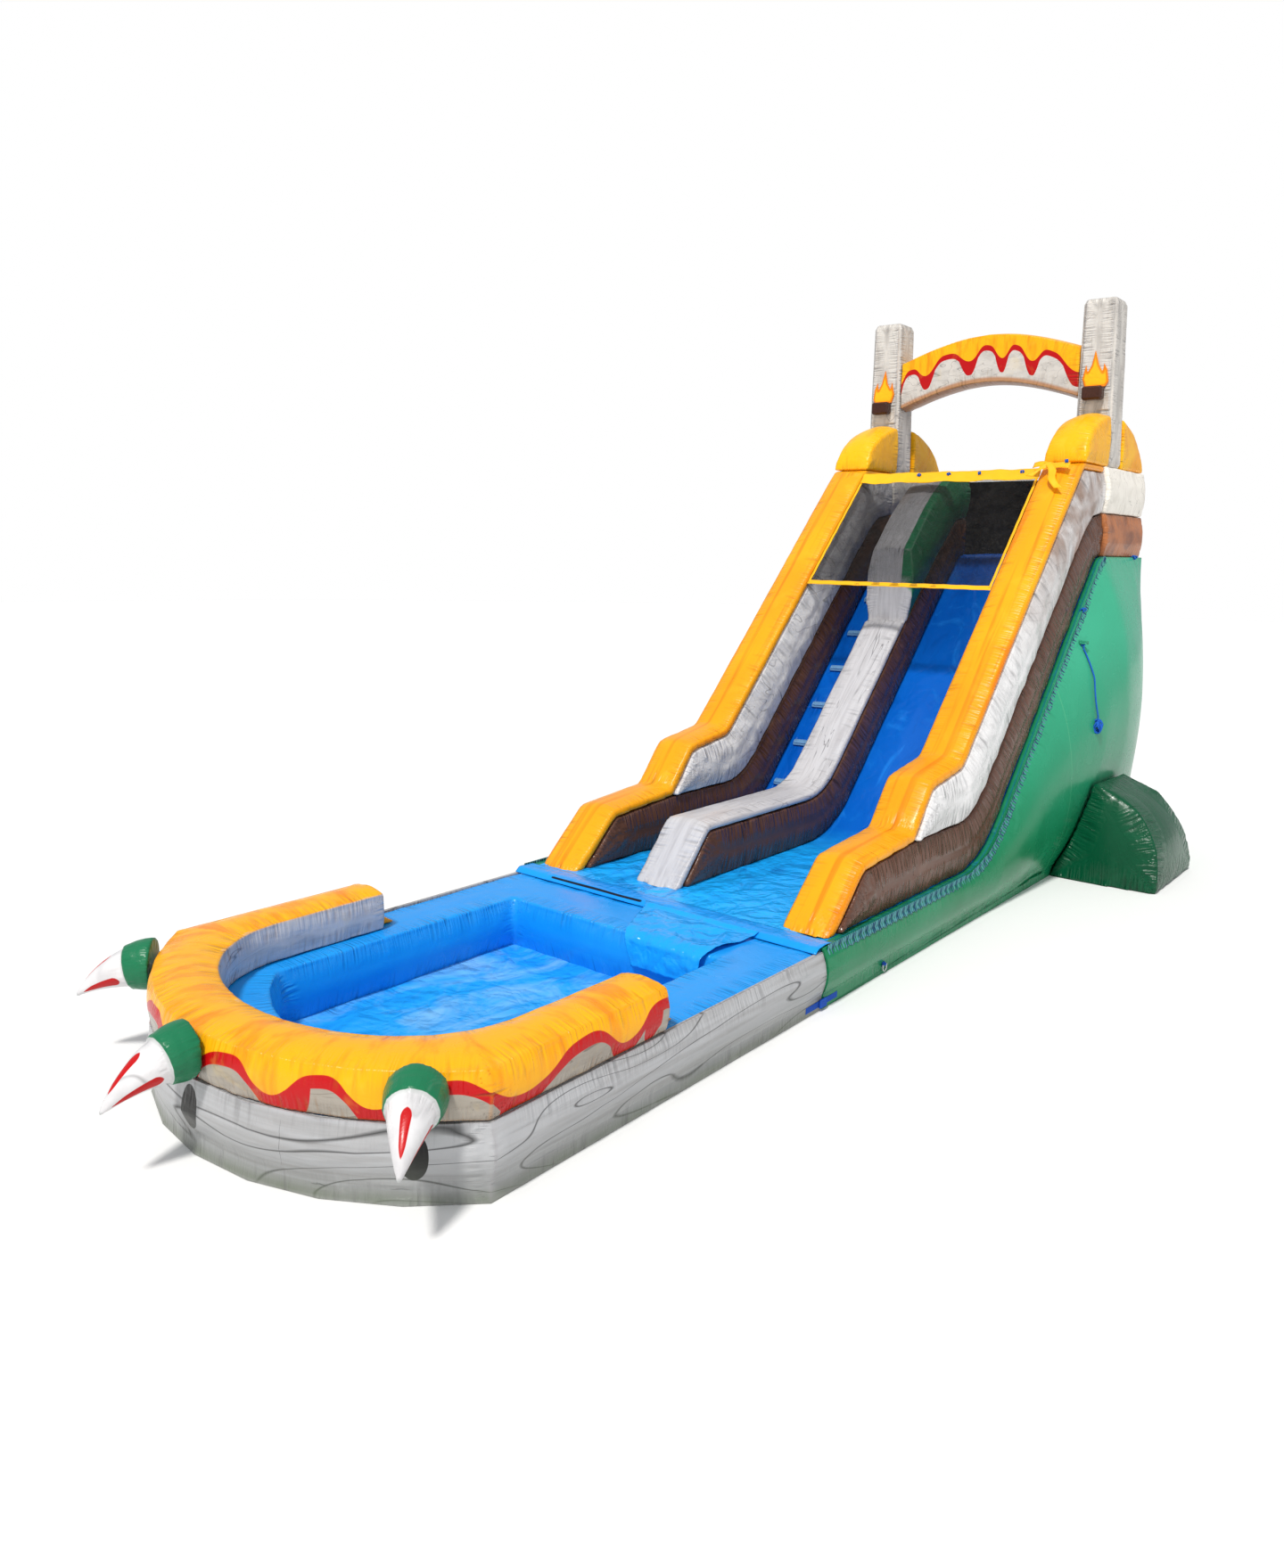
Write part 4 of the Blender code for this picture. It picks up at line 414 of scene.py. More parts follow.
def liner_paint(finish, base):
    """Wet blue vinyl with a pale wash of reflected sky across it."""
    wash = finish.noise((2.0, 1.1, 1.0), 4.0, 0.6, 1.4)
    return finish.blend(wash.ramp(0.46, 4.0) * 0.6, base, (0.30, 0.56, 0.78))


def liner_relief(finish):
    """The pool's floor sheet is slack all over."""
    return crumple(finish, 1.5, 0.055) + crumple(finish, 4.1, 0.012)


def streaks(across, colour, strength):
    """Streaks of a second colour that run along a piece, from noise squeezed across it."""
    def paint(finish, base):
        grain = finish.noise(across, 3.0, 0.6, 0.3)
        bands = grain.ramp(0.52, 7.0) * strength
        fine = finish.noise(tuple(4 * value for value in across), 1.0)
        return finish.blend(bands * (0.6 + fine * 0.6), base, colour)
    return paint


def veins(stretch, colours, lines=6.0, width=0.05, shadow=0.5):
    """Printed rock: long bands of light and dark with thin dark veins between them."""
    pale, dark, vein = colours

    def paint(finish, base):
        flow = finish.noise(stretch, 2.0, 0.5, 0.6)
        bands = finish.noise(tuple(2.6 * value for value in stretch), 3.0, 0.6, 0.4)
        colour = finish.blend(bands.ramp(0.42, 4.0) * shadow, pale, dark)
        line = (flow * lines).fract().around(0.5, width)
        patch = finish.noise(0.9, 1.0)
        return finish.blend(line * patch.ramp(0.38, 4.0) * 0.8, colour, vein)
    return paint


def drips(along, pitch, start=0.0):
    """Round lobes and the narrow notches between them, from -1 low to 1 high, along a piece."""
    turn = along * (FULL_TURN / pitch) + (along * (1.9 / pitch)).sine() * 0.9 + start
    lobes = (turn.sine() * 0.85).flattened() * 1.4
    return lobes + (turn * 2.0 + 1.1).sine() * 0.12


GREY = ((0.56, 0.55, 0.57), (0.36, 0.345, 0.36), (0.10, 0.095, 0.10))
CREAM = ((0.38, 0.34, 0.29), (0.24, 0.205, 0.165), (0.09, 0.075, 0.06))
LIGHT = ((0.74, 0.73, 0.74), (0.44, 0.425, 0.44), (0.09, 0.085, 0.09))
WARM = ((0.66, 0.62, 0.57), (0.38, 0.35, 0.32), (0.09, 0.08, 0.075))
PALE = ((0.92, 0.87, 0.79), (0.72, 0.67, 0.59), (0.24, 0.21, 0.19))
YELLOW = (0.94, 0.45, 0.006)
SHOE_YELLOW = (0.94, 0.43, 0.005)
ORANGE = (0.84, 0.215, 0.004)
RED = (0.50, 0.004, 0.006)


def shoe_paint(finish, base):
    """Yellow over the top, a red dripping edge below it, and marbled grey on both sides."""
    along = finish.attribute("along")
    across = finish.attribute("across")
    _, y, z = finish.parts()
    grain = finish.noise(finish.vector(along * 6.5, across * 0.8, z * 1.0), 3.0, 0.65, 0.15)
    fine = finish.noise(finish.vector(along * 22.0, across * 0.6, z * 2.0), 1.0)
    top = finish.blend(grain.ramp(0.48, 6.0) * (0.2 + fine * 0.9), SHOE_YELLOW, ORANGE)
    grey = veins((1.2, 1.2, 7.0), CREAM, 5.0, 0.05)(finish, base)
    wave = drips(along, 0.72, 0.6)
    edge = 0.590 + wave * 0.078
    long_drip = ((along * (FULL_TURN / 1.13) + 0.7).sine() - 0.90) * 10.0
    low = edge - 0.066 - (0.0 - wave).clamp() * 0.050 - long_drip.clamp() ** 0.6 * 0.15
    outer = finish.blend(z.above(low, 0.004), grey, RED)
    outer = finish.blend(z.above(edge, 0.004), outer, top)
    marbled = veins((1.2, 1.2, 7.0), GREY, 5.0, 0.05)(finish, base)
    inner = (0.42 - across).above(0.0, 0.02) * (1.0 - z.above(SHOE_TOP - 0.040, 0.006))
    gusset = y.above(SHOE_REAR + 0.012, 0.006)
    return finish.blend(gusset, finish.blend(inner, outer, marbled), (0.90, 0.34, 0.005))


def arch_paint(finish, base):
    """Yellow along the top of the arch, dripping red over marbled grey, and tan below."""
    x, _, _ = finish.parts()
    rise = finish.attribute("rise")
    grey = veins((3.0, 3.0, 5.0), WARM, 6.0, 0.05)(finish, base)
    tan = finish.noise(5.0, 2.0)
    grey = finish.blend(1.0 - rise.above(0.045, 0.03), grey, (0.50, 0.26, 0.14))
    wave = drips(x + 4.0, 0.43, 0.4)
    edge = 0.345 + wave * 0.080
    low = edge - 0.064 - (0.0 - wave).clamp() * 0.10
    colour = finish.blend(rise.above(low, 0.004), grey, RED)
    grain = finish.noise((16.0, 3.0, 3.0), 2.0)
    top = finish.blend(grain.ramp(0.5, 5.0) * (0.3 + tan * 0.6), YELLOW, ORANGE)
    return finish.blend(rise.above(edge, 0.004), colour, top)


def skirt_paint(finish, base):
    """Marbled grey with long dark lines, a dark almond patch beside each claw, and painted shade towards the
    bottom.
    """
    along = finish.attribute("along")
    _, _, z = finish.parts()
    flow = finish.noise(finish.vector(along * 0.45, z * 2.4, 0.0), 1.0, 0.5, 0.4)
    bands = finish.noise(finish.vector(along * 0.8, z * 17.0, 3.0), 3.0, 0.6, 0.3)
    colour = finish.blend(bands.ramp(0.44, 3.0) * 0.60, (0.44, 0.445, 0.46),
                          (0.22, 0.21, 0.20))
    line = (flow * 9.0).fract().around(0.5, 0.045)
    colour = finish.blend(line * 0.9, colour, (0.035, 0.035, 0.035))
    side = finish.attribute("patch")
    width = side / 0.075
    height = (z - 0.265) / 0.125
    almond = 1.0 - (width * width + height * height) ** 0.5
    dark = almond.above(0.0, 0.03)
    colour = finish.blend(dark, colour, (0.012, 0.012, 0.012))
    mould = finish.noise(6.0, 3.0)
    # Painted shade: darker towards the bottom of the skirt.
    colour = finish.blend((1.0 - z / 0.30).clamp() * 0.65, colour, (0.12, 0.13, 0.11))
    return finish.blend((1.0 - z / 0.09).clamp() * mould, colour, (0.13, 0.16, 0.10))


def claw_paint(finish, base):
    """A green collar, then a pale horn with two red flashes towards the tip."""
    along = finish.attribute("along")
    turn = finish.attribute("turn")
    horn = veins((1.4, 1.4, 1.4), LIGHT, 3.0, 0.025, 0.5)(finish, base)
    middle = (1.0 - abs(turn) / 0.13) * along.above(0.45, 0.10) * (1.0 - along.above(0.80, 0.14))
    sides = (1.0 - abs(abs(turn) - 0.62) / 0.14) * along.above(0.40, 0.10) * (1.0 - along.above(0.85, 0.2))
    horn = finish.blend(middle.most(sides).above(0.3, 0.08), horn, RED)
    return finish.blend(along.above(0.29, 0.004), (0.012, 0.17, 0.075), horn)


def flap_paint(finish, base):
    """Blue with a sewn line, and a painted shadow line where its left half stands off the pool."""
    x, y, _ = finish.parts()
    line = y.around(JUNCTION_Y + 0.055, 0.005)
    colour = finish.blend(line * 0.6, base, (0.002, 0.07, 0.34))
    # Painted shadow: a dark line under the front edge of the flap's left half.
    sides = x.above(-1.12, 0.03) * (1.0 - x.above(-0.12, 0.03))
    gap = y.around(JUNCTION_Y - 0.058, 0.012) * sides
    return finish.blend((gap * 3.0).clamp(), colour, (0.004, 0.008, 0.02))


def flap_relief(finish):
    """Short ripples across the flap."""
    x, _, _ = finish.parts()
    wave = finish.noise(finish.vector(x * 14.0, 0.0, 0.0), 2.0)
    return wave * 0.010 + crumple(finish, 4.0, 0.010)


def hull_paint(finish, base):
    """Green with a painted highlight high on the sides, and one sewn seam down each side."""
    _, y, z = finish.parts()
    wide = finish.noise((0.5, 0.7, 0.7), 2.0)
    # Painted highlight: paler green high up the sides, where the light falls.
    high = z.above(1.5, 2.0) * (0.55 + wide * 0.6)
    colour = finish.blend(high.clamp(), base, (0.055, 0.42, 0.26))
    line = y.around(HULL_SEAM, 0.007)
    return finish.blend(line * 0.7, colour, (0.10, 0.42, 0.22))


def ruffle_paint(finish, base):
    """Teal gathers with painted shade, dark blue, in the folds between them."""
    run = finish.attribute("across")
    drift = finish.noise(finish.vector(run * 9.0, 0.0, 0.0), 2.0)
    # Painted shade: dark blue in the folds between the gathers.
    fold = ((run * (FULL_TURN / 0.030) + drift * 5.0).sine() * 1.4 + 0.2).clamp()
    return finish.blend(fold, (0.075, 0.26, 0.28), (0.006, 0.055, 0.11))


def bed_paint(finish, base):
    """Deep blue slopes, a paler run-out, painted shade and highlight along folds, pale step bars, and a
    green ledge outside the walls.
    """
    x, y, _ = finish.parts()
    worn = finish.noise((1.2, 0.4, 0.4), 3.0)
    blue = finish.blend(worn.ramp(0.45, 3.0) * 0.6, base, (0.004, 0.155, 0.66))
    pale = finish.blend(worn, (0.006, 0.34, 0.92), (0.012, 0.42, 0.95))
    blue = finish.blend(y.above(JUNCTION_Y + 2.55, 0.7), pale, blue)
    # Painted shade in the folds' hollows and painted highlight on their ridges.
    fold = finish.noise((2.2, 1.3, 1.3), 4.0, 0.6, 1.6)
    blue = finish.blend(((0.46 - fold) * 7.0).clamp() * 0.45, blue, (0.001, 0.065, 0.36))
    blue = finish.blend(fold.ramp(0.60, 7.0) * 0.45, blue, (0.02, 0.28, 0.86))
    blue = finish.blend(finish.attribute("proud").above(0.025, 0.006), blue, (0.20, 0.40, 0.62))
    return finish.blend(abs(x).above(WALL_OUTER - 0.01, 0.004), blue, (0.012, 0.20, 0.085))


def panel_paint(finish, base):
    """Marbled grey that turns brown in patches towards the tall end, on the outside, and is painted paler on
    the outside as if lit.
    """
    x, y, z = finish.parts()
    grey = veins((1.5, 1.0, 3.0), LIGHT, 7.0, 0.05)(finish, base)
    patch = finish.noise(1.6, 3.0, 0.6, 0.5)
    outside = abs(x).above(1.33, 0.1)
    # Painted light: the outside of the walls is paler, as if lit.
    grey = finish.blend(outside * 0.5, grey, (0.88, 0.87, 0.87))
    high = z.above(2.9, 1.2)
    brown = finish.blend(patch.ramp(0.36, 4.0) * outside * high * 0.85, grey, (0.24, 0.13, 0.08))
    strip = z.around(3.35, 0.35) * outside * y.above(JUNCTION_Y + 5.0, 0.4)
    return finish.blend(strip * 0.8, brown, (0.40, 0.15, 0.06))


def rock_paint(finish, base):
    """Tan rock print that darkens in patches."""
    patch = finish.noise((2.6, 2.6, 4.0), 3.0, 0.6, 0.8)
    return finish.blend(patch.ramp(0.45, 4.0) * 0.8, (0.46, 0.16, 0.055), (0.17, 0.055, 0.025))


def make_finishes():
    """Every finish of the slide, named for what it covers."""
    made = {
        "cap": vinyl("wall_cap_vinyl", "yellow_vinyl", YELLOW, (0.86, 0.33, 0.006), (1.0, 0.60, 0.03),
                     0.30, 0.045, 0.014, 0.005, streaks((14.0, 0.4, 0.4), (0.86, 0.19, 0.004), 0.8)),
        "dome": vinyl("dome_vinyl", "yellow_vinyl", (0.97, 0.56, 0.010), (0.95, 0.45, 0.006),
                      (1.0, 0.70, 0.08), 0.28, 0.05, 0.014, 0.010,
                      streaks((6.0, 1.2, 1.2), (0.92, 0.34, 0.005), 0.8)),
        "shoe": vinyl("horseshoe_vinyl", "yellow_vinyl", YELLOW, (0.75, 0.30, 0.02), (0.98, 0.66, 0.10),
                      0.28, 0.05, 0.012, 0.006, shoe_paint),
        "arch": vinyl("arch_vinyl", "yellow_vinyl", YELLOW, (0.6, 0.3, 0.05), (0.98, 0.66, 0.1),
                      0.32, 0.04, 0.010, 0.006, arch_paint),
        "base": vinyl("base_tube_vinyl", "brown_vinyl", (0.165, 0.078, 0.052), (0.105, 0.046, 0.030),
                      (0.27, 0.16, 0.12), 0.18, 0.06, 0.026, 0.006, reach=0.30),
        "panel": vinyl("panel_vinyl", "marbled_vinyl", GREY[0], GREY[1], (0.72, 0.72, 0.75),
                       0.30, 0.065, 0.024, 0.014, panel_paint, reach=0.30),
        "divider": vinyl("divider_vinyl", "marbled_vinyl", GREY[0], GREY[1], (0.62, 0.63, 0.66),
                         0.30, 0.055, 0.016, 0.006, divider_paint),
        "tower": vinyl("tower_vinyl", "marbled_vinyl", PALE[0], PALE[1], (0.82, 0.79, 0.73),
                       0.34, 0.05, 0.010, 0.008, veins((2.2, 2.2, 2.2), PALE, 6.0, 0.045)),
        "rock": vinyl("rock_vinyl", "tan_vinyl", (0.46, 0.16, 0.055), (0.25, 0.09, 0.04),
                      (0.56, 0.22, 0.09), 0.32, 0.05, 0.012, 0.008, rock_paint),
        "pillar": vinyl("pillar_vinyl", "marbled_vinyl", GREY[0], GREY[1], (0.72, 0.71, 0.72),
                        0.32, 0.042, 0.020, 0.006, veins((3.2, 3.2, 0.8), WARM, 6.0, 0.05, 0.7), reach=0.15),
        "skirt": vinyl("skirt_vinyl", "marbled_vinyl", GREY[0], GREY[1], (0.52, 0.52, 0.53),
                       0.32, 0.05, 0.012, 0.008, skirt_paint),
        "bed": vinyl("bed_vinyl", "blue_vinyl", (0.002, 0.125, 0.58), (0.001, 0.085, 0.47),
                     (0.02, 0.33, 0.88), 0.20, 0.05, 0.008, 0.006, bed_paint, run_out_relief),
        # The pool ring's pale patches are partly painted reflection, partly random tone.
        "pool": vinyl("pool_vinyl", "blue_vinyl", (0.024, 0.37, 0.88), (0.006, 0.29, 0.82),
                      (0.13, 0.46, 0.88), 0.25, 0.045, 0.013, 0.006),
        "liner": vinyl("liner_vinyl", "blue_vinyl", (0.035, 0.42, 0.90), (0.012, 0.32, 0.84),
                       (0.20, 0.54, 0.88), 0.16, 0.05, 0.010, 0.006, liner_paint, liner_relief),
        "flap": vinyl("flap_vinyl", "blue_vinyl", (0.010, 0.36, 0.90), (0.004, 0.28, 0.82),
                      (0.06, 0.46, 0.94), 0.22, 0.05, 0.004, 0.004, flap_paint, flap_relief),
        "tongue": vinyl("tongue_vinyl", "blue_vinyl", (0.016, 0.40, 0.92), (0.006, 0.31, 0.85),
                        (0.08, 0.50, 0.94), 0.20, 0.05, 0.004, 0.004, None, liner_relief),
        "hull": vinyl("hull_vinyl", "green_vinyl", (0.009, 0.25, 0.11), (0.005, 0.17, 0.065),
                      (0.06, 0.40, 0.24), 0.26, 0.055, 0.008, 0.004, hull_paint),
        # Painted shade: the wedges are the hull's green vinyl, made much darker as they look in shade.
        "wedge": vinyl("wedge_vinyl", "green_vinyl", (0.002, 0.090, 0.038), (0.001, 0.060, 0.024),
                       (0.010, 0.15, 0.07), 0.26, 0.055, 0.026, 0.008, reach=0.26),
        "claw": vinyl("claw_vinyl", "green_vinyl", (0.012, 0.17, 0.075), (0.008, 0.12, 0.05),
                      (0.5, 0.5, 0.5), 0.30, 0.04, 0.006, 0.004, claw_paint),
        "bracket": vinyl("bracket_vinyl", "brown_vinyl", (0.095, 0.034, 0.02), (0.045, 0.016, 0.01),
                         (0.15, 0.07, 0.045), 0.30, 0.03, 0.005, 0.003),
        "flame": vinyl("flame_vinyl", "yellow_vinyl", YELLOW, ORANGE, (1.0, 0.6, 0.05),
                       0.35, 0.03, 0.003, 0.003, flame_paint),
        "hem": vinyl("hem_vinyl", "yellow_vinyl", (0.98, 0.56, 0.010), (0.92, 0.44, 0.01), (1.0, 0.70, 0.06),
                     0.40, 0.04, 0.004, 0.003),
        "ruffle": vinyl("ruffle_vinyl", "blue_vinyl", (0.035, 0.21, 0.25), (0.010, 0.09, 0.16),
                        (0.14, 0.40, 0.42), 0.45, 0.03, 0.002, 0.002, ruffle_paint),
    }
    made["webbing"] = webbing()
    made["net"] = netting("lane_net", 0.10)
    made["backing"] = netting("back_net", 0.46)
    made["steel"] = plating()
    made["zip"] = zip_coils()
    made["rope"] = braid()
    return made


def divider_paint(finish, base):
    """Marbled grey along the top, with the crest's side towards the sliding lane in green."""
    x, y, _ = finish.parts()
    grey = veins((8.0, 0.8, 0.8), GREY, 6.0, 0.05)(finish, base)
    dark = finish.noise((5.0, 1.5, 1.5), 3.0)
    grey = finish.blend(y.above(CREST_FRONT + 0.6, 0.5) * dark.ramp(0.35, 3.0) * 0.6, grey,
                        (0.17, 0.165, 0.17))
    side = x.above(-0.158, 0.006) * y.above(CREST_FRONT - 0.04, 0.01)
    return finish.blend(side, grey, (0.012, 0.20, 0.08))


def flame_paint(finish, base):
    """Yellow inside an orange outline."""
    seam = finish.attribute("seam")
    return finish.blend(seam.above(0.022, 0.016), ORANGE, (0.98, 0.50, 0.01))


def braid():
    """Braided blue rope."""
    finish = Finish("rope_braid", "blue_webbing", (0.010, 0.12, 0.56), 0.7)
    strands = finish.noise((180.0, 180.0, 90.0), 1.0)
    finish.paint(finish.blend((strands - 0.3) * 1.5, (0.006, 0.07, 0.38), (0.02, 0.18, 0.72)))
    finish.raise_by(strands * 0.002)
    return finish


def zip_coils():
    """The black tape of the zip with a row of coils along its middle."""
    finish = Finish("zip_tape", "black_plastic", (0.015, 0.015, 0.016), 0.6)
    x, _, _ = finish.parts()
    teeth = (x * 400.0).sine()
    finish.paint(finish.blend(teeth * 0.5 + 0.5, (0.010, 0.010, 0.011), (0.035, 0.035, 0.038)))
    finish.raise_by(teeth * 0.0006)
    return finish


def webbing():
    """Blue webbing with a ribbed weave."""
    finish = Finish("webbing_weave", "blue_webbing", (0.012, 0.085, 0.50), 0.75)
    ribs = finish.noise((260.0, 260.0, 520.0), 1.0)
    finish.paint(finish.blend((ribs - 0.3) * 1.4, (0.008, 0.05, 0.32), (0.02, 0.13, 0.62)))
    finish.raise_by(ribs * 0.0006)
    return finish


def netting(name, width):
    """Fine black net: a grid of threads with air between them."""
    finish = Finish(name, "black_mesh", (0.012, 0.012, 0.013), 0.6)
    across = finish.attribute("across")
    down = finish.attribute("down")
    gap = abs((across / 0.012).fract() - 0.5).least(abs((down / 0.012).fract() - 0.5))
    thread = 1.0 - gap.above(width, 0.02)
    finish.cut(thread)
    drift = finish.noise(4.0, 4.0, 0.6, 1.2)
    finish.paint(finish.blend(drift.ramp(0.4, 3.0), (0.002, 0.002, 0.002), (0.020, 0.019, 0.018)))
    finish.raise_by(thread * 0.0008 + crumple(finish, 3.0, 0.07))
    return finish


def plating():
    """Zinc plated steel with faint blotches."""
    finish = Finish("zinc_plating", "plated_steel", (0.60, 0.60, 0.62), 0.32, 1.0)
    blotch = finish.noise(60.0, 3.0)
    finish.paint(finish.blend(blotch, (0.46, 0.46, 0.47), (0.70, 0.70, 0.72)))
    finish.polish(0.22 + blotch * 0.25)
    finish.raise_by(blotch * 0.0001)
    return finish


# Shaping

def chosen(thing):
    """Make one object the only selected and the active one."""
    bpy.ops.object.select_all(action="DESELECT")
    thing.select_set(True)
    bpy.context.view_layer.objects.active = thing


def copied(sources, name):
    """A piece that starts as the shape of CAD nodes, with their loose triangles joined again."""
    mesh = bpy.data.meshes.new(name)
    bm = bmesh.new()
    for node in sources:
        bm.from_mesh(nodes[node].data)
    bm.to_mesh(mesh)
    bm.free()
    thing = bpy.data.objects.new(name, mesh)
    bpy.context.scene.collection.objects.link(thing)
    chosen(thing)
    bpy.ops.object.mode_set(mode="EDIT")
    bpy.ops.mesh.select_all(action="SELECT")
    bpy.ops.mesh.remove_doubles(threshold=0.00005)
    bpy.ops.mesh.tris_convert_to_quads(face_threshold=math.radians(12), shape_threshold=math.radians(120))
    bpy.ops.object.mode_set(mode="OBJECT")
    return thing


def seam_chains(mesh, limit):
    """The sharp edges of a mesh as segments, with the distance run along each chain of them."""
    bm = bmesh.new()
    bm.from_mesh(mesh)
    sharp = set()
    for edge in bm.edges:
        if len(edge.link_faces) == 2 and edge.calc_face_angle(0.0) > limit:
            sharp.add(edge)
    starts, ends, runs = [], [], []
    left = set(sharp)
    while left:
        first = min(left, key=lambda edge: edge.index)
        left.discard(first)
        chain = [(first.verts[0], first.verts[1])]
        for forward in (True, False):
            while True:
                here, before = (chain[-1][1], chain[-1][0]) if forward else (chain[0][0], chain[0][1])
                heading = (here.co - before.co).normalized()
                best, score = None, 0.5
                for edge in here.link_edges:
                    if edge in left:
                        away = (edge.other_vert(here).co - here.co).normalized().dot(heading)
                        if away > score:
                            best, score = edge, away
                if best is None:
                    break
                left.discard(best)
                step = (here, best.other_vert(here))
                if forward:
                    chain.append(step)
                else:
                    chain.insert(0, (step[1], step[0]))
        run = 7.3 * len(starts)
        for a, b in chain:
            starts.append(a.co[:])
            ends.append(b.co[:])
            runs.append(run)
            run += (b.co - a.co).length
    bm.free()
    return np.array(starts), np.array(ends), np.array(runs)


def points_of(mesh):
    flat = np.empty(len(mesh.vertices) * 3, dtype=np.float32)
    mesh.vertices.foreach_get("co", flat)
    return flat.reshape(-1, 3).astype(float)


def move_to(mesh, points):
    """Put the vertices of a mesh at new places."""
    mesh.vertices.foreach_set("co", points.astype(np.float32).ravel())
    mesh.update()


def marks_of(line):
    """The distance run along a line at each of its points."""
    return np.concatenate([[0.0], np.cumsum(np.linalg.norm(line[1:] - line[:-1], axis=1))])


def normals_of(mesh):
    flat = np.empty(len(mesh.vertices) * 3, dtype=np.float32)
    mesh.vertex_normals.foreach_get("vector", flat)
    return flat.reshape(-1, 3).astype(float)


def nearest(points, starts, ends):
    """For each point: its distance to a set of segments, which segment, and how far along it."""
    span = ends - starts
    size = np.maximum((span ** 2).sum(axis=1), 1e-12)
    best = np.full(len(points), 1e9)
    which = np.zeros(len(points), dtype=int)
    share = np.zeros(len(points))
    for i in range(len(starts)):
        part = np.clip(((points - starts[i]) @ span[i]) / size[i], 0.0, 1.0)
        gap = np.linalg.norm(points - starts[i] - part[:, None] * span[i], axis=1)
        closer = gap < best
        best[closer] = gap[closer]
        which[closer] = i
        share[closer] = part[closer]
    return best, which, share * np.sqrt(size[which])


def store(mesh, name, values):
    """Keep a number for each vertex, which a finish can read."""
    data = mesh.attributes.get(name) or mesh.attributes.new(name, "FLOAT", "POINT")
    data.data.foreach_set("value", np.asarray(values, dtype=np.float32))


def ripple(run, pitch):
    """Uneven waves along a seam, between -1 and 1."""
    cell = run / pitch
    low = np.floor(cell)
    part = cell - low
    part = part * part * (3 - 2 * part)
    first = np.sin(low * 127.1 + 3.7) * 43758.5453
    second = np.sin((low + 1) * 127.1 + 3.7) * 43758.5453
    first = 2 * (first - np.floor(first)) - 1
    second = 2 * (second - np.floor(second)) - 1
    return first * (1 - part) + second * part


def steady(mesh, points, run):
    """1 where the distance run along the seams changes evenly, 0 beside its jumps."""
    flat = np.empty(len(mesh.edges) * 2, dtype=np.int32)
    mesh.edges.foreach_get("vertices", flat)
    first, second = flat.reshape(-1, 2).T
    size = np.linalg.norm(points[first] - points[second], axis=1)
    jump = np.abs(run[first] - run[second]) > 1.6 * size + 0.004
    even = np.ones(len(points))
    even[first[jump]] = 0.0
    even[second[jump]] = 0.0
    for _ in range(3):
        low = even.copy()
        np.minimum.at(low, first, even[second] + 0.34)
        np.minimum.at(low, second, even[first] + 0.34)
        even = low
    return np.clip(even, 0.0, 1.0)


def finish_seams(thing, chains, depth, reach, pitch=0.11):
    """Measure each vertex from the seams, and pucker the skin beside them."""
    mesh = thing.data
    points = points_of(mesh)
    if len(chains[0]):
        gap, which, step = nearest(points, chains[0], chains[1])
        run = chains[2][which] + step
    else:
        gap, run = np.full(len(points), 1.0), np.zeros(len(points))
    near = np.clip(1 - gap / reach, 0, 1) ** 1.5 * np.clip(gap / (reach * 0.12), 0.15, 1)
    even = steady(mesh, points, run)
    push = near * even * (ripple(run, pitch) * 0.5 - 0.5) * depth
    moved = points + normals_of(mesh) * push[:, None]
    move_to(mesh, moved)
    store(mesh, "run", run)
    store(mesh, "seam", gap)
    store(mesh, "ribs", even)


def apply(thing, kind, **settings):
    """Add a modifier and apply it at once."""
    chosen(thing)
    modifier = thing.modifiers.new(kind.lower(), kind)
    for key, value in settings.items():
        setattr(modifier, key, value)
    bpy.ops.object.modifier_apply(modifier=modifier.name)


def crease(thing, limit):
    """Crease the sharp edges, so that subdividing keeps them where they are."""
    chosen(thing)
    bpy.ops.object.mode_set(mode="EDIT")
    bpy.ops.mesh.select_all(action="DESELECT")
    bpy.ops.mesh.edges_select_sharp(sharpness=math.radians(limit))
    bpy.ops.transform.edge_crease(value=1.0)
    bpy.ops.object.mode_set(mode="OBJECT")


def puffed(sources, name, size, depth=0.006, reach=0.16, limit=35.0, smooth=3):
    """A thick inflated piece: an even skin over the solid, softened at its seams and puckered."""
    thing = copied(sources, name)
    chains = seam_chains(thing.data, math.radians(limit))
    crease(thing, limit)
    apply(thing, "SUBSURF", levels=2, render_levels=2)
    apply(thing, "REMESH", mode="VOXEL", voxel_size=size, use_smooth_shade=True)
    apply(thing, "SMOOTH", factor=0.5, iterations=smooth)
    finish_seams(thing, chains, depth, reach)
    thing.data.shade_smooth()
    return thing


def skinned(source, name, levels=3, depth=0.0, reach=0.12, limit=35.0):
    """A thin skin: the CAD surface made smooth between its creased borders."""
    thing = copied([source], name)
    chains = seam_chains(thing.data, math.radians(limit))
    crease(thing, limit)
    levels = levels
    apply(thing, "SUBSURF", levels=levels, render_levels=levels)
    finish_seams(thing, chains, depth, reach)
    thing.data.shade_smooth()
    chosen(thing)
    bpy.ops.object.shade_smooth_by_angle(angle=math.radians(40))
    return thing


def slackened(thing, depth, stretch, share=1.0):
    """Folds of loose vinyl: each vertex moves out or in by ridged noise, and less near a seam."""
    mesh = thing.data
    points = points_of(mesh)
    gap = np.empty(len(points), dtype=np.float32)
    mesh.attributes["seam"].data.foreach_get("value", gap)
    folds = [noise.ridged_multi_fractal(Vector(spot), 0.9, 2.0, 2, 1.0, 2.0) for spot in points * stretch]
    push = (np.clip(folds, 0.0, 1.6) - 0.8) * depth * share * np.clip(gap / 0.10, 0.0, 1.0)
    moved = points + normals_of(mesh) * push[:, None]
    moved[:, 2] = np.maximum(moved[:, 2], points[:, 2].min())
    move_to(mesh, moved)


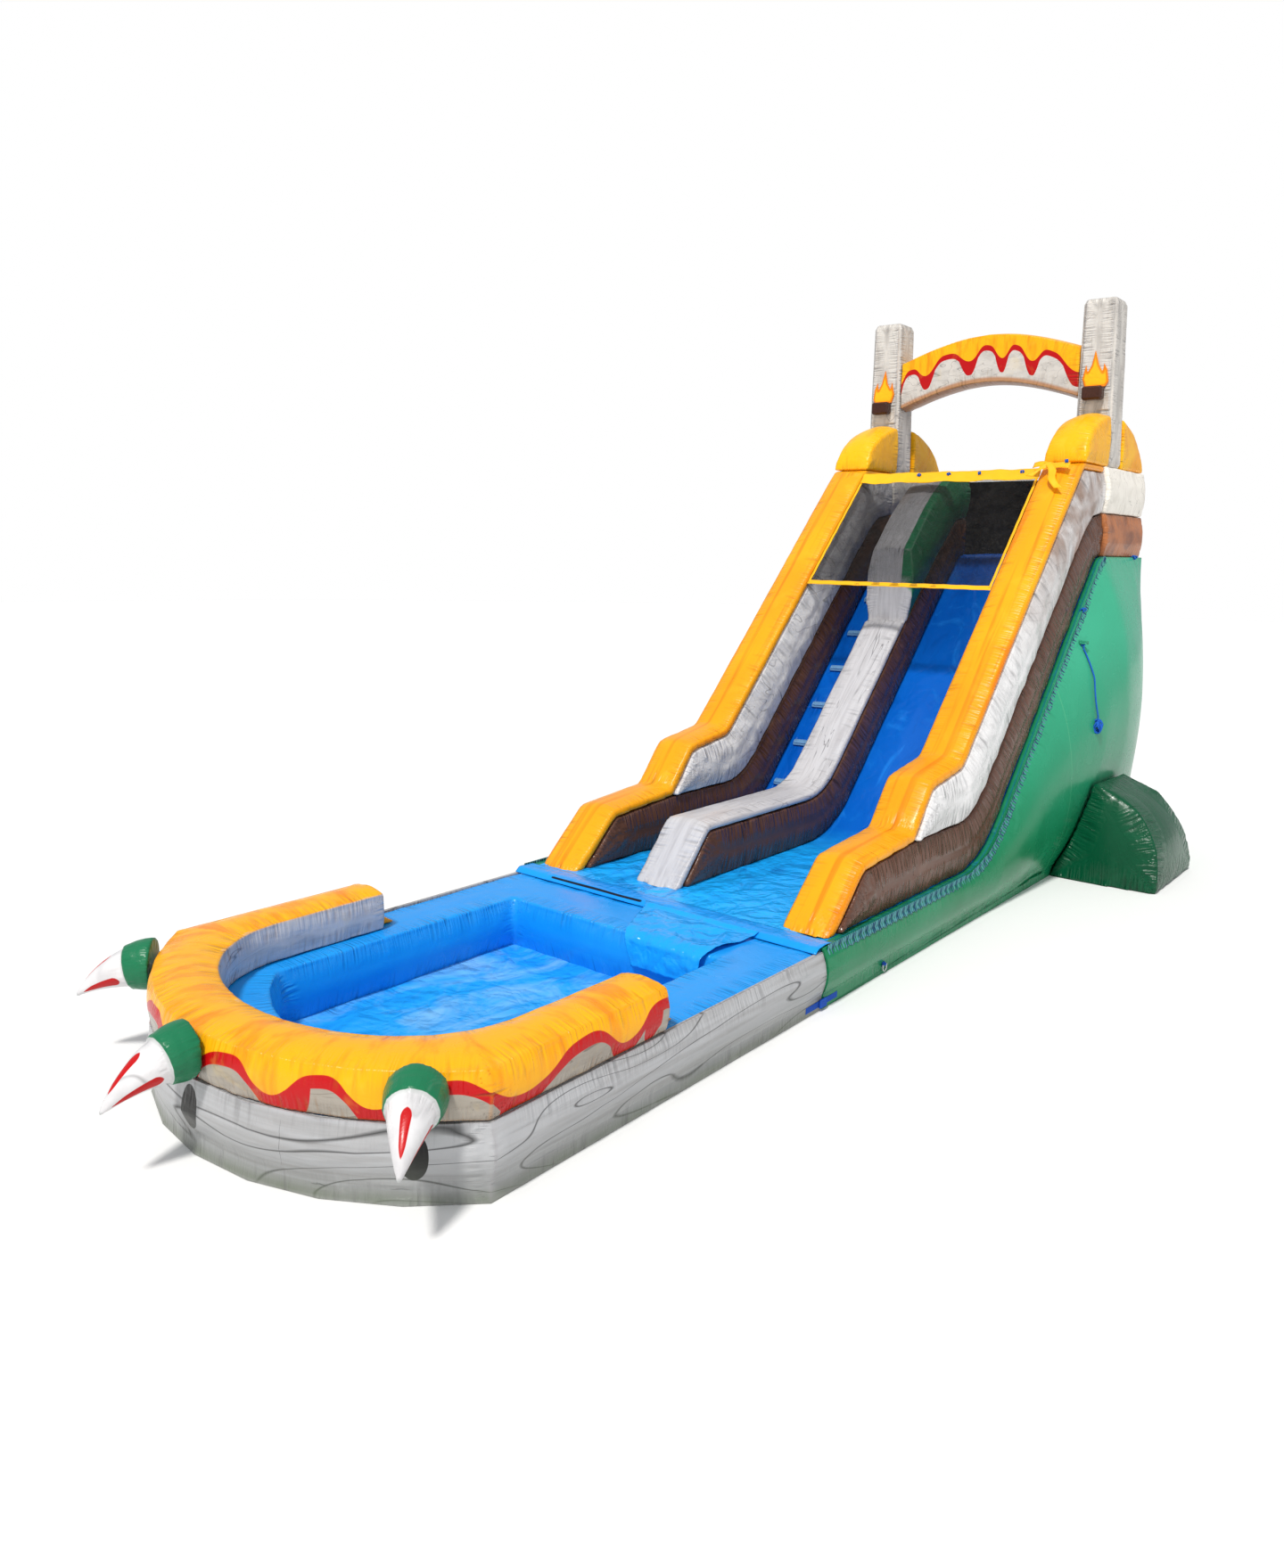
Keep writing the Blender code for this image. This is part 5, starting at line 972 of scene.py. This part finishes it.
def upper_side(thing):
    """1 where the surface faces up, 0 where it faces sideways or down."""
    return np.clip(normals_of(thing.data)[:, 2] * 2.0 - 0.6, 0.0, 1.0)


def put_on(thing, finish, replaced):
    """Give a piece its finish and the CAD nodes that it stands for, and let it ride on the slide."""
    thing.data.materials.clear()
    thing.data.materials.append(finish.material)
    if replaced:
        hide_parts(*replaced)
    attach(thing, "slide")
    return thing


def plan_line(right_half, rear=None):
    """A plan line from its right end round the nose to its left end, at height 0."""
    right = ([(right_half[0][0], rear)] if rear is not None else []) + list(right_half)
    left = [(-x, y) for x, y in reversed(right[:-1])]
    return np.array([(x, y + JUNCTION_Y, 0.0) for x, y in right + left])


def along_line(points, line):
    """How far each point lies from a plan line, and how far along it."""
    plan = points.copy()
    plan[:, 2] = 0.0
    gap, which, step = nearest(plan, line[:-1], line[1:])
    return gap, marks_of(line)[which] + step


def follow_shoe(thing):
    """Store how far round the horseshoe each vertex is, and how far across it from its inner side."""
    points = points_of(thing.data)
    outer, along = along_line(points, plan_line(SHOE_RIGHT_OUTER))
    inner, _ = along_line(points, plan_line(SHOE_RIGHT_INNER))
    store(thing.data, "along", along)
    store(thing.data, "across", inner / (inner + outer))


def follow_skirt(thing):
    """Store how far round the pool each vertex is, and how far it is from a claw's dark patch."""
    line = plan_line(SHOE_RIGHT_OUTER, 0.0)
    _, along = along_line(points_of(thing.data), line)
    roots = np.array([(x, y + JUNCTION_Y, 0.0) for _, (x, y), _ in CLAWS])
    _, marks = along_line(roots, line)
    shifts = [along - (mark + 0.025) for mark in marks]
    store(thing.data, "along", along)
    store(thing.data, "patch", min_by_size(shifts))


def min_by_size(rows):
    """For each column, the entry nearest to zero."""
    table = np.array(rows)
    return table[np.abs(table).argmin(axis=0), np.arange(table.shape[1])]


def follow_claw(thing, root, out):
    """Store how far along the claw each vertex is, and how far round from its upper side."""
    radius = CLAW_LENGTH / CLAW_BEND
    away = points_of(thing.data) - np.array([root[0], root[1] + JUNCTION_Y, CLAW_HEIGHT])
    out = np.array([out[0], out[1], 0.0])
    ahead = away @ out
    rise = radius + away[:, 2]
    angle = np.arctan2(ahead, rise)
    side = np.cross(out, (0.0, 0.0, 1.0))
    lift = np.hypot(ahead, rise) - radius
    store(thing.data, "along", angle / CLAW_BEND)
    store(thing.data, "turn", np.arctan2(away @ side, lift) / math.pi)


# Pieces

def make_walls(finishes):
    """The side walls: base tubes, marbled panels and yellow caps."""
    for word in ("right", "left"):
        for node, name, finish, depth, reach in (
            ("wall_base_", "base_tube_", "base", 0.016, 0.20),
            ("wall_panel_", "marbled_panel_", "panel", 0.018, 0.24),
            ("wall_cap_", "yellow_cap_", "cap", 0.009, 0.14),
        ):
            piece = puffed([node + word], name + word, FINE, depth, reach)
            if finish == "panel":
                slackened(piece, 0.016, (2.4, 2.0, 2.0))
            put_on(piece, finishes[finish], [node + word])


def make_divider(finishes):
    """The divider: its base tube, and the marbled top that swells into a tall crest."""
    piece = puffed(["divider_base"], "divider_tube", FINE, 0.016, 0.20)
    put_on(piece, finishes["base"], ["divider_base"])
    piece = puffed(["divider_cap", "divider_crest"], "divider_top", FINE, 0.014, 0.20)
    put_on(piece, finishes["divider"], ["divider_cap", "divider_crest"])


def above_deck(points):
    """How high each point is above the lane's surface, square to it."""
    line = np.array([(0.0, y + JUNCTION_Y, z) for y, z in DECK])
    flat = points.copy()
    flat[:, 0] = 0.0
    gap, which, _ = nearest(flat, line[:-1], line[1:])
    span = line[which + 1] - line[which]
    away = flat - line[which]
    over = span[:, 1] * away[:, 2] - span[:, 2] * away[:, 1]
    return np.where(over > 0, gap, -gap)


def make_beds(finishes):
    """The two beds, the platform, the hull's skins and the baffles inside it."""
    for node, name in (
        ("slide_bed", "sliding_bed"), ("climb_bed", "climbing_bed"), ("platform", "platform_pad"),
    ):
        piece = skinned(node, name, 4)
        points = points_of(piece.data)
        proud = above_deck(points) if node == "climb_bed" else np.zeros(len(points))
        store(piece.data, "proud", proud)
        flat = np.clip((JUNCTION_Y + 2.9 - points[:, 1]) / 1.4, 0.25, 1.0)
        slackened(piece, 0.016, (2.6, 2.0, 2.0), upper_side(piece) * flat)
        put_on(piece, finishes["bed"], [node])
    for node, name in (
        ("hull_side_right", "hull_skin_right"), ("hull_side_left", "hull_skin_left"),
        ("hull_back", "hull_skin_back"), ("hull_floor", "hull_skin_floor"),
        ("inner_web_front", "baffle_front"), ("inner_web_rear", "baffle_rear"),
    ):
        piece = skinned(node, name, 4 if node.startswith("hull_s") else 3, 0.006, 0.20)
        if node.startswith("hull_side"):
            slackened(piece, 0.010, (0.9, 0.9, 0.9))
        put_on(piece, finishes["hull"], [node])


def make_ruffles(finishes):
    """The gathered strip of vinyl sewn down the hull's side along each of its top edges."""
    line = np.array([(y + JUNCTION_Y, z) for y, z in DECK])
    marks = marks_of(line)
    total = marks[-1]

    def lying(u, v, side, skin):
        run = 0.04 + (total - 0.08) * u
        y, z = np.interp(run, marks, line[:, 0]), np.interp(run, marks, line[:, 1])
        after = min(run + 0.2, total)
        slope = math.atan2(np.interp(after, marks, line[:, 1]) - z, np.interp(after, marks, line[:, 0]) - y)
        down = -0.010 + 0.080 * v * (1.0 + 0.08 * math.sin(run * 71.0))
        spot = Vector((side * HULL_HALF, y + down * math.sin(slope), z - down * math.cos(slope)))
        near, normal, _, _ = skin.find_nearest(spot)
        outward = Vector((side, 0.0, 0.0)) if normal.x * side < 0.3 else normal
        if down < 0.0:
            near = spot
        puff = 0.018 + 0.008 * math.sin(run * 149.6) * math.sin(math.pi * v)
        return near + outward * puff

    for word, side in (("right", 1), ("left", -1)):
        mesh = nodes["hull_side_" + word].data
        faces = [tuple(face.vertices) for face in mesh.polygons]
        skin = BVHTree.FromPolygons([vertex.co for vertex in mesh.vertices], faces)
        piece = grid_sheet("seam_ruffle_" + word, lambda u, v: lying(u, v, side, skin),
                           800, 5, total, 0.09)
        bare_seams(piece)
        put_on(piece, finishes["ruffle"], [])


def make_tower(finishes):
    """The pads round the platform, the domes, the pillars and the arch."""
    for word in ("right", "left"):
        for node, name, finish, size in (
            ("tower_lower_", "rock_pad_", "rock", FINE), ("tower_upper_", "pale_pad_", "tower", FINE),
            ("dome_front_", "front_dome_", "dome", FINE), ("dome_rear_", "rear_dome_", "dome", FINE),
            ("pillar_", "square_pillar_", "pillar", SMALL),
        ):
            piece = puffed([node + word], name + word, size, 0.010, 0.16)
            put_on(piece, finishes[finish], [node + word])
    arch = puffed(["arch"], "arched_beam", SMALL, 0.010, 0.14)
    points = points_of(arch.data)
    share = np.clip(points[:, 0] / ARCH_HALF, -1, 1)
    store(arch.data, "rise", points[:, 2] - (ARCH_FOOT + ARCH_RISE * np.cos(share * math.pi / 2)))
    put_on(arch, finishes["arch"], ["arch"])


def make_outriggers(finishes):
    """The two wedges beside the hull."""
    for word in ("right", "left"):
        piece = puffed(["outrigger_" + word], "wedge_" + word, FINE, 0.016, 0.24)
        put_on(piece, finishes["wedge"], ["outrigger_" + word])


def make_pool(finishes):
    """The pool's ring, skirt and floor, and the raised tube with its claws."""
    piece = puffed(["pool_wall"], "pool_ring", FINE, 0.016, 0.24)
    put_on(piece, finishes["pool"], ["pool_wall"])
    piece = skinned("pool_skirt", "pool_side", 5)
    follow_skirt(piece)
    slackened(piece, 0.014, (1.2, 1.2, 5.0))
    put_on(piece, finishes["skirt"], ["pool_skirt"])
    piece = skinned("pool_floor", "pool_liner", 5)
    spread(piece, 0.03)
    slackened(piece, 0.022, (2.0, 1.6, 1.0), upper_side(piece))
    put_on(piece, finishes["liner"], ["pool_floor"])
    shoe = puffed(["horseshoe"], "raised_tube", FINE * 0.8, 0.016, 0.20)
    follow_shoe(shoe)
    put_on(shoe, finishes["shoe"], ["horseshoe"])
    for word, root, out in CLAWS:
        claw = puffed(["claw_" + word], "curved_claw_" + word, SMALL, 0.003, 0.08)
        follow_claw(claw, root, out)
        put_on(claw, finishes["claw"], ["claw_" + word])


def spread(piece, reach):
    """Widen a floor sheet under what stands round it."""
    points = points_of(piece.data)
    middle = (points.min(axis=0) + points.max(axis=0)) / 2
    half = (points.max(axis=0) - points.min(axis=0)) / 2
    points[:, :2] = middle[:2] + (points[:, :2] - middle[:2]) * (1 + reach / half[:2])
    move_to(piece.data, points)


def make_torches(finishes):
    """The torches, each one skin over its bracket and flame."""
    bracket_top = TOWER_TOP + BRACKET_BASE + BRACKET_EDGE
    for word in ("right", "left"):
        piece = puffed(["torch_" + word], "torch_pad_" + word, 0.006, 0.001, 0.04, smooth=2)
        put_on(piece, finishes["bracket"], ["torch_" + word])
        piece.data.materials.append(finishes["flame"].material)
        for face in piece.data.polygons:
            if face.center.z > bracket_top:
                face.material_index = 1


def make_fabric(finishes):
    """The flap over the junction, the tongue and the inflation sleeve."""
    across = np.array(FLAP_SIDE)

    def laid(u, v):
        x = FLAP_WIDTH * (u - 0.5)
        y = np.interp(v, FLAP_SHARES, across[:, 0]) + JUNCTION_Y
        z = np.interp(v, FLAP_SHARES, across[:, 1])
        lift = 0.010 * noise.noise(Vector((x * 3.1, v * 2.0, 0.0))) + 0.008
        return Vector((x, y, z + max(lift, 0.0) * math.sin(math.pi * min(v + 0.05, 1.0))))

    piece = grid_sheet("junction_cover", laid, 130, 16, FLAP_WIDTH, FLAP_RUN)
    bare_seams(piece)
    put_on(piece, finishes["flap"], ["junction_flap"])
    side = np.array([(y + JUNCTION_Y, z) for y, z in TONGUE_SIDE])
    marks = marks_of(side)
    marks = marks / marks[-1]

    def hanging(u, v):
        y, z = np.interp(v, marks, side[:, 0]), np.interp(v, marks, side[:, 1])
        ahead = np.interp(min(v + 0.02, 1.0), marks, side[:, 0]) - np.interp(v - 0.02, marks, side[:, 0])
        drop = np.interp(min(v + 0.02, 1.0), marks, side[:, 1]) - np.interp(v - 0.02, marks, side[:, 1])
        size = math.hypot(ahead, drop)
        width = TONGUE_WIDTH - TONGUE_NARROWING * v
        x = -0.07 + 0.55 + 0.15 * v + width * (u - 0.5)
        folds = noise.ridged_multi_fractal(Vector((x * 4.5, v * 3.2, 2.0)), 0.9, 2.0, 3, 1.0, 2.0)
        lift = 0.003 + min(0.018 * folds, 0.042) * min(1.0, 5.0 * v)
        return Vector((x, y + lift * drop / size, z - lift * ahead / size))

    piece = grid_sheet("wrinkled_tongue", hanging, 70, 52, TONGUE_WIDTH, TONGUE_RUN)
    bare_seams(piece)
    put_on(piece, finishes["tongue"], ["flap_tongue"])
    piece = skinned("inflation_sleeve", "filling_sleeve", 2)
    put_on(piece, finishes["hull"], ["inflation_sleeve"])


def bare_seams(piece):
    """A sheet without puckered seams."""
    for name, value in (("seam", 1.0), ("run", 0.0), ("ribs", 0.0)):
        store(piece.data, name, np.full(len(piece.data.vertices), value))


def make_nets(finishes):
    """The nets as fine sheets, and the yellow hems of the one over the lanes."""
    along = Vector((0.0, math.cos(LANE_TILT), math.sin(LANE_TILT)))
    normal = Vector((0.0, -along.z, along.y))
    low, high = (Vector(corner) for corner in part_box("front_net"))
    lower = Vector((0.0, low.y, low.z)) + normal * 0.010
    length = (high.z - low.z) / along.z
    width = high.x - low.x

    def on_slope(x, run, lift):
        spot = lower + along * run + normal * lift
        return Vector((x, spot.y, spot.z))

    def sagging(x, run):
        across = math.cos(math.pi * x / width)
        return -0.022 * across * math.sin(math.pi * min(max(run / length, 0.0), 1.0))

    def over_lanes(u, v):
        x, run = (width - 0.03) * (u - 0.5), 0.02 + (length - 0.05) * v
        fold = noise.noise(Vector((3.2 * x, 1.6 * run, 5.0))) * math.sin(math.pi * v) * math.sin(math.pi * u)
        return on_slope(x, run, sagging(x, run) + 0.024 * fold)

    sheet = grid_sheet("top_net", over_lanes, 80, 64, width, length)
    put_on(sheet, finishes["net"], ["front_net"])

    def upper_band(u, v):
        x = width * (u - 0.5)
        dip = 0.045 * abs(math.sin(4 * math.pi * u)) * (0.4 + 0.6 * (1 - v))
        fold = noise.noise(Vector((16.0 * u, 2.0 * v, 0.0)))
        lift = 0.012 + 0.012 * fold + sagging(x, length * 0.95)
        return on_slope(x, length - 0.150 + HEM_HEIGHT * v - dip * 0.5, lift)

    def strap(u, v):
        x = 1.00 + 0.40 * u
        lift = 0.125 + 0.010 * math.sin(9.0 * u) - 0.09 * max(0.0, 0.3 - u)
        return on_slope(x, length - 0.045 + STRAP_WIDTH * (v - 0.5) - 0.05 * u, lift)

    def tail(start, lean, wide, sway, drop, lift, waves):
        """One loose end of the strap, hanging from the bow."""
        def place(u, v):
            x = start + lean * u + wide * (v - 0.5) + sway * math.sin(7.0 * u)
            return on_slope(x, length - 0.05 - drop * u, lift + 0.008 * math.sin(waves * u + 2.0 * v))
        return place

    def lower_band(u, v):
        x = width * (u - 0.5)
        sag = 0.020 * math.cos(math.pi * x / width)
        return on_slope(x, 0.058 * v + sag * 0.3, 0.005 - 0.3 * sag + 0.002 * math.sin(60.0 * u))

    pieces = [
        grid_sheet("upper_hem", upper_band, 160, 10, width, HEM_HEIGHT),
        grid_sheet("lower_hem", lower_band, 120, 4, width, 0.06),
        grid_sheet("hem_strap", strap, 24, 4, 0.42, STRAP_WIDTH),
        grid_sheet("hem_tail", tail(1.16, 0.20, STRAP_WIDTH, 0.02, 0.38, 0.130, 11.0), 24, 4,
                   0.43, STRAP_WIDTH),
        grid_sheet("hem_short_tail", tail(1.18, -0.16, 0.07, 0.0, 0.20, 0.134, 9.0), 16, 4, 0.26, 0.07),
    ]
    for word, side in (("right", 1), ("left", -1)):
        def edging(u, v, side=side):
            x = side * (width / 2 - 0.030 + 0.028 * u)
            return on_slope(x, 0.03 + (length - 0.08) * v, 0.006 + 0.002 * math.sin(50.0 * v))
        pieces.append(grid_sheet("side_edging_" + word, edging, 3, 90, 0.03, length))
    for piece in pieces:
        bare_seams(piece)
        put_on(piece, finishes["hem"], [])
    ties = [on_slope(x, length - 0.05, 0.022) for x in (-0.34, 0.02, 0.38, 0.86)]
    ties += [on_slope(1.36, length - 0.05, 0.150)]
    bows = []
    for spot in ties:
        bows += bow(spot, 0.022, math.pi * spot.x)
    pieces.append(rope_loops("hem_ties", bows, finishes["rope"], [], 0.006))

    low, high = (Vector(corner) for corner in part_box("rear_net"))
    span, tall = high.x - low.x, high.z - low.z
    middle = (low.y + high.y) / 2

    def behind(u, v):
        fold = 0.03 * math.sin(3 * math.pi * u) * math.sin(math.pi * v) * math.sin(math.pi * u)
        fold += 0.012 * math.sin(17 * u + 5 * v) * math.sin(math.pi * u)
        return Vector((low.x + span * u, middle + fold * 0.6, low.z + tall * v))

    back = grid_sheet("back_net", behind, 64, 30, span, tall)
    put_on(back, finishes["backing"], ["rear_net"])


def grid_sheet(name, place, columns, rows, width, length):
    """A thin sheet laid out point by point, which knows its own width and length."""
    bpy.ops.object.select_all(action="DESELECT")
    bpy.ops.mesh.primitive_grid_add(x_subdivisions=columns, y_subdivisions=rows, size=1.0)
    thing = bpy.context.object
    thing.name = name
    us, vs = [], []
    for vertex in thing.data.vertices:
        u, v = vertex.co.x + 0.5, vertex.co.y + 0.5
        us.append(u * width)
        vs.append(v * length)
        vertex.co = place(u, v)
    store(thing.data, "across", us)
    store(thing.data, "down", vs)
    apply(thing, "SOLIDIFY", thickness=0.002, offset=0.0)
    thing.data.shade_smooth()
    return thing


def make_fittings(finishes):
    """Straps, tabs, rings, the zip and its slider keep their CAD shapes under better finishes."""
    for word in ("right", "left"):
        finish_node("tie_strap_" + word, finishes["webbing"])
        for end in ("front", "rear"):
            finish_node("%s_tab_%s" % (end, word), finishes["webbing"])
            finish_node("%s_ring_%s" % (end, word), finishes["steel"])
    finish_node("zip_slider", finishes["steel"])
    finish_node("zip_tape", finishes["zip"])


def finish_node(node, finish):
    """Give a CAD node a finish in place of its plain one."""
    for slot in nodes[node].material_slots:
        slot.material = finish.material


def bow(spot, size, turn):
    """Two crossed loops of cord round a spot."""
    loops = []
    for lean in (turn, turn + 1.3):
        across = Vector((math.cos(lean), 0.5 * math.sin(lean), 0.5 * math.sin(lean)))
        loop = []
        for step in range(16):
            angle = 2 * math.pi * step / 16
            loop.append(spot + across * (size * math.cos(angle))
                        + Vector((0.0, -0.35, 0.9)) * (0.5 * size * math.sin(angle)))
        loops.append(loop)
    return loops


def rope_curve(name, lines, closed, finish, radius=0.008):
    """Round rope along one line of points or more."""
    data = bpy.data.curves.new(name, "CURVE")
    data.dimensions = "3D"
    data.bevel_depth = radius
    data.bevel_resolution = 3
    for line in lines:
        spline = data.splines.new("POLY")
        spline.points.add(len(line) - 1)
        for point, spot in zip(spline.points, line):
            point.co = (*spot, 1.0)
        spline.use_cyclic_u = closed
        spline.use_smooth = True
    data.use_fill_caps = not closed
    data.materials.append(finish.material)
    thing = bpy.data.objects.new(name, data)
    bpy.context.scene.collection.objects.link(thing)
    return thing


def rope_loops(name, lines, finish, replaced, radius=0.008):
    """Closed loops of rope as a mesh with its finish on."""
    thing = rope_curve(name, lines, True, finish, radius)
    chosen(thing)
    bpy.ops.object.convert(target="MESH")
    return put_on(thing, finish, replaced)


def make_rope(finishes):
    """The tie rope on the hull's right side, with its spare length bunched at the end."""
    rope = rope_curve("hanging_rope", [ROPE], False, finishes["rope"])
    put_on(rope, finishes["rope"], ["tie_rope"])
    end = Vector(ROPE[-1])
    loops = []
    for i in range(7):
        turn = i * 1.31
        loop = []
        for step in range(28):
            angle = 2 * math.pi * step / 28
            wide = 0.050 + 0.012 * math.sin(i * 2.3)
            tall = 0.072 - 0.006 * i
            out = Vector((math.cos(turn), math.sin(turn), 0.25 * math.sin(2.0 * i)))
            out = out * (wide * math.cos(angle))
            swing = Vector((-math.sin(turn), math.cos(turn), 0.0)) * (0.016 * math.sin(2 * angle + i))
            loop.append(end + out * 0.9 + swing + Vector((0.0, 0.0, tall * math.sin(angle) - 0.060)))
        loops.append(loop)
    wrap = []
    for step in range(44):
        angle = 2 * math.pi * step / 22
        low = -0.070 + 0.014 * step / 22
        wrap.append(end + Vector((0.022 * math.cos(angle), 0.022 * math.sin(angle), low)))
    bunch = rope_loops("rope_bunch", loops + [wrap], finishes["rope"], ["rope_knot"])
    skin = points_of(nodes["hull_side_right"].data)
    spots = []
    for spot in ((1.64, 3.41, 2.43), (1.60, 5.25, 3.24), (1.60, 3.75, 2.72)):
        near = skin[np.linalg.norm(skin - np.array(spot), axis=1).argmin()]
        spots += bow(Vector(near) + Vector((0.012, 0.0, 0.0)), 0.035, spot[1])
    rope_loops("hull_ties", spots, finishes["rope"], [], 0.007)


def main():
    add_camera()
    add_lights()
    finishes = make_finishes()
    for make in (
        make_rope, make_walls, make_divider, make_beds, make_ruffles, make_tower, make_outriggers,
        make_pool, make_torches, make_fabric, make_nets, make_fittings,
    ):
        make(finishes)


main()
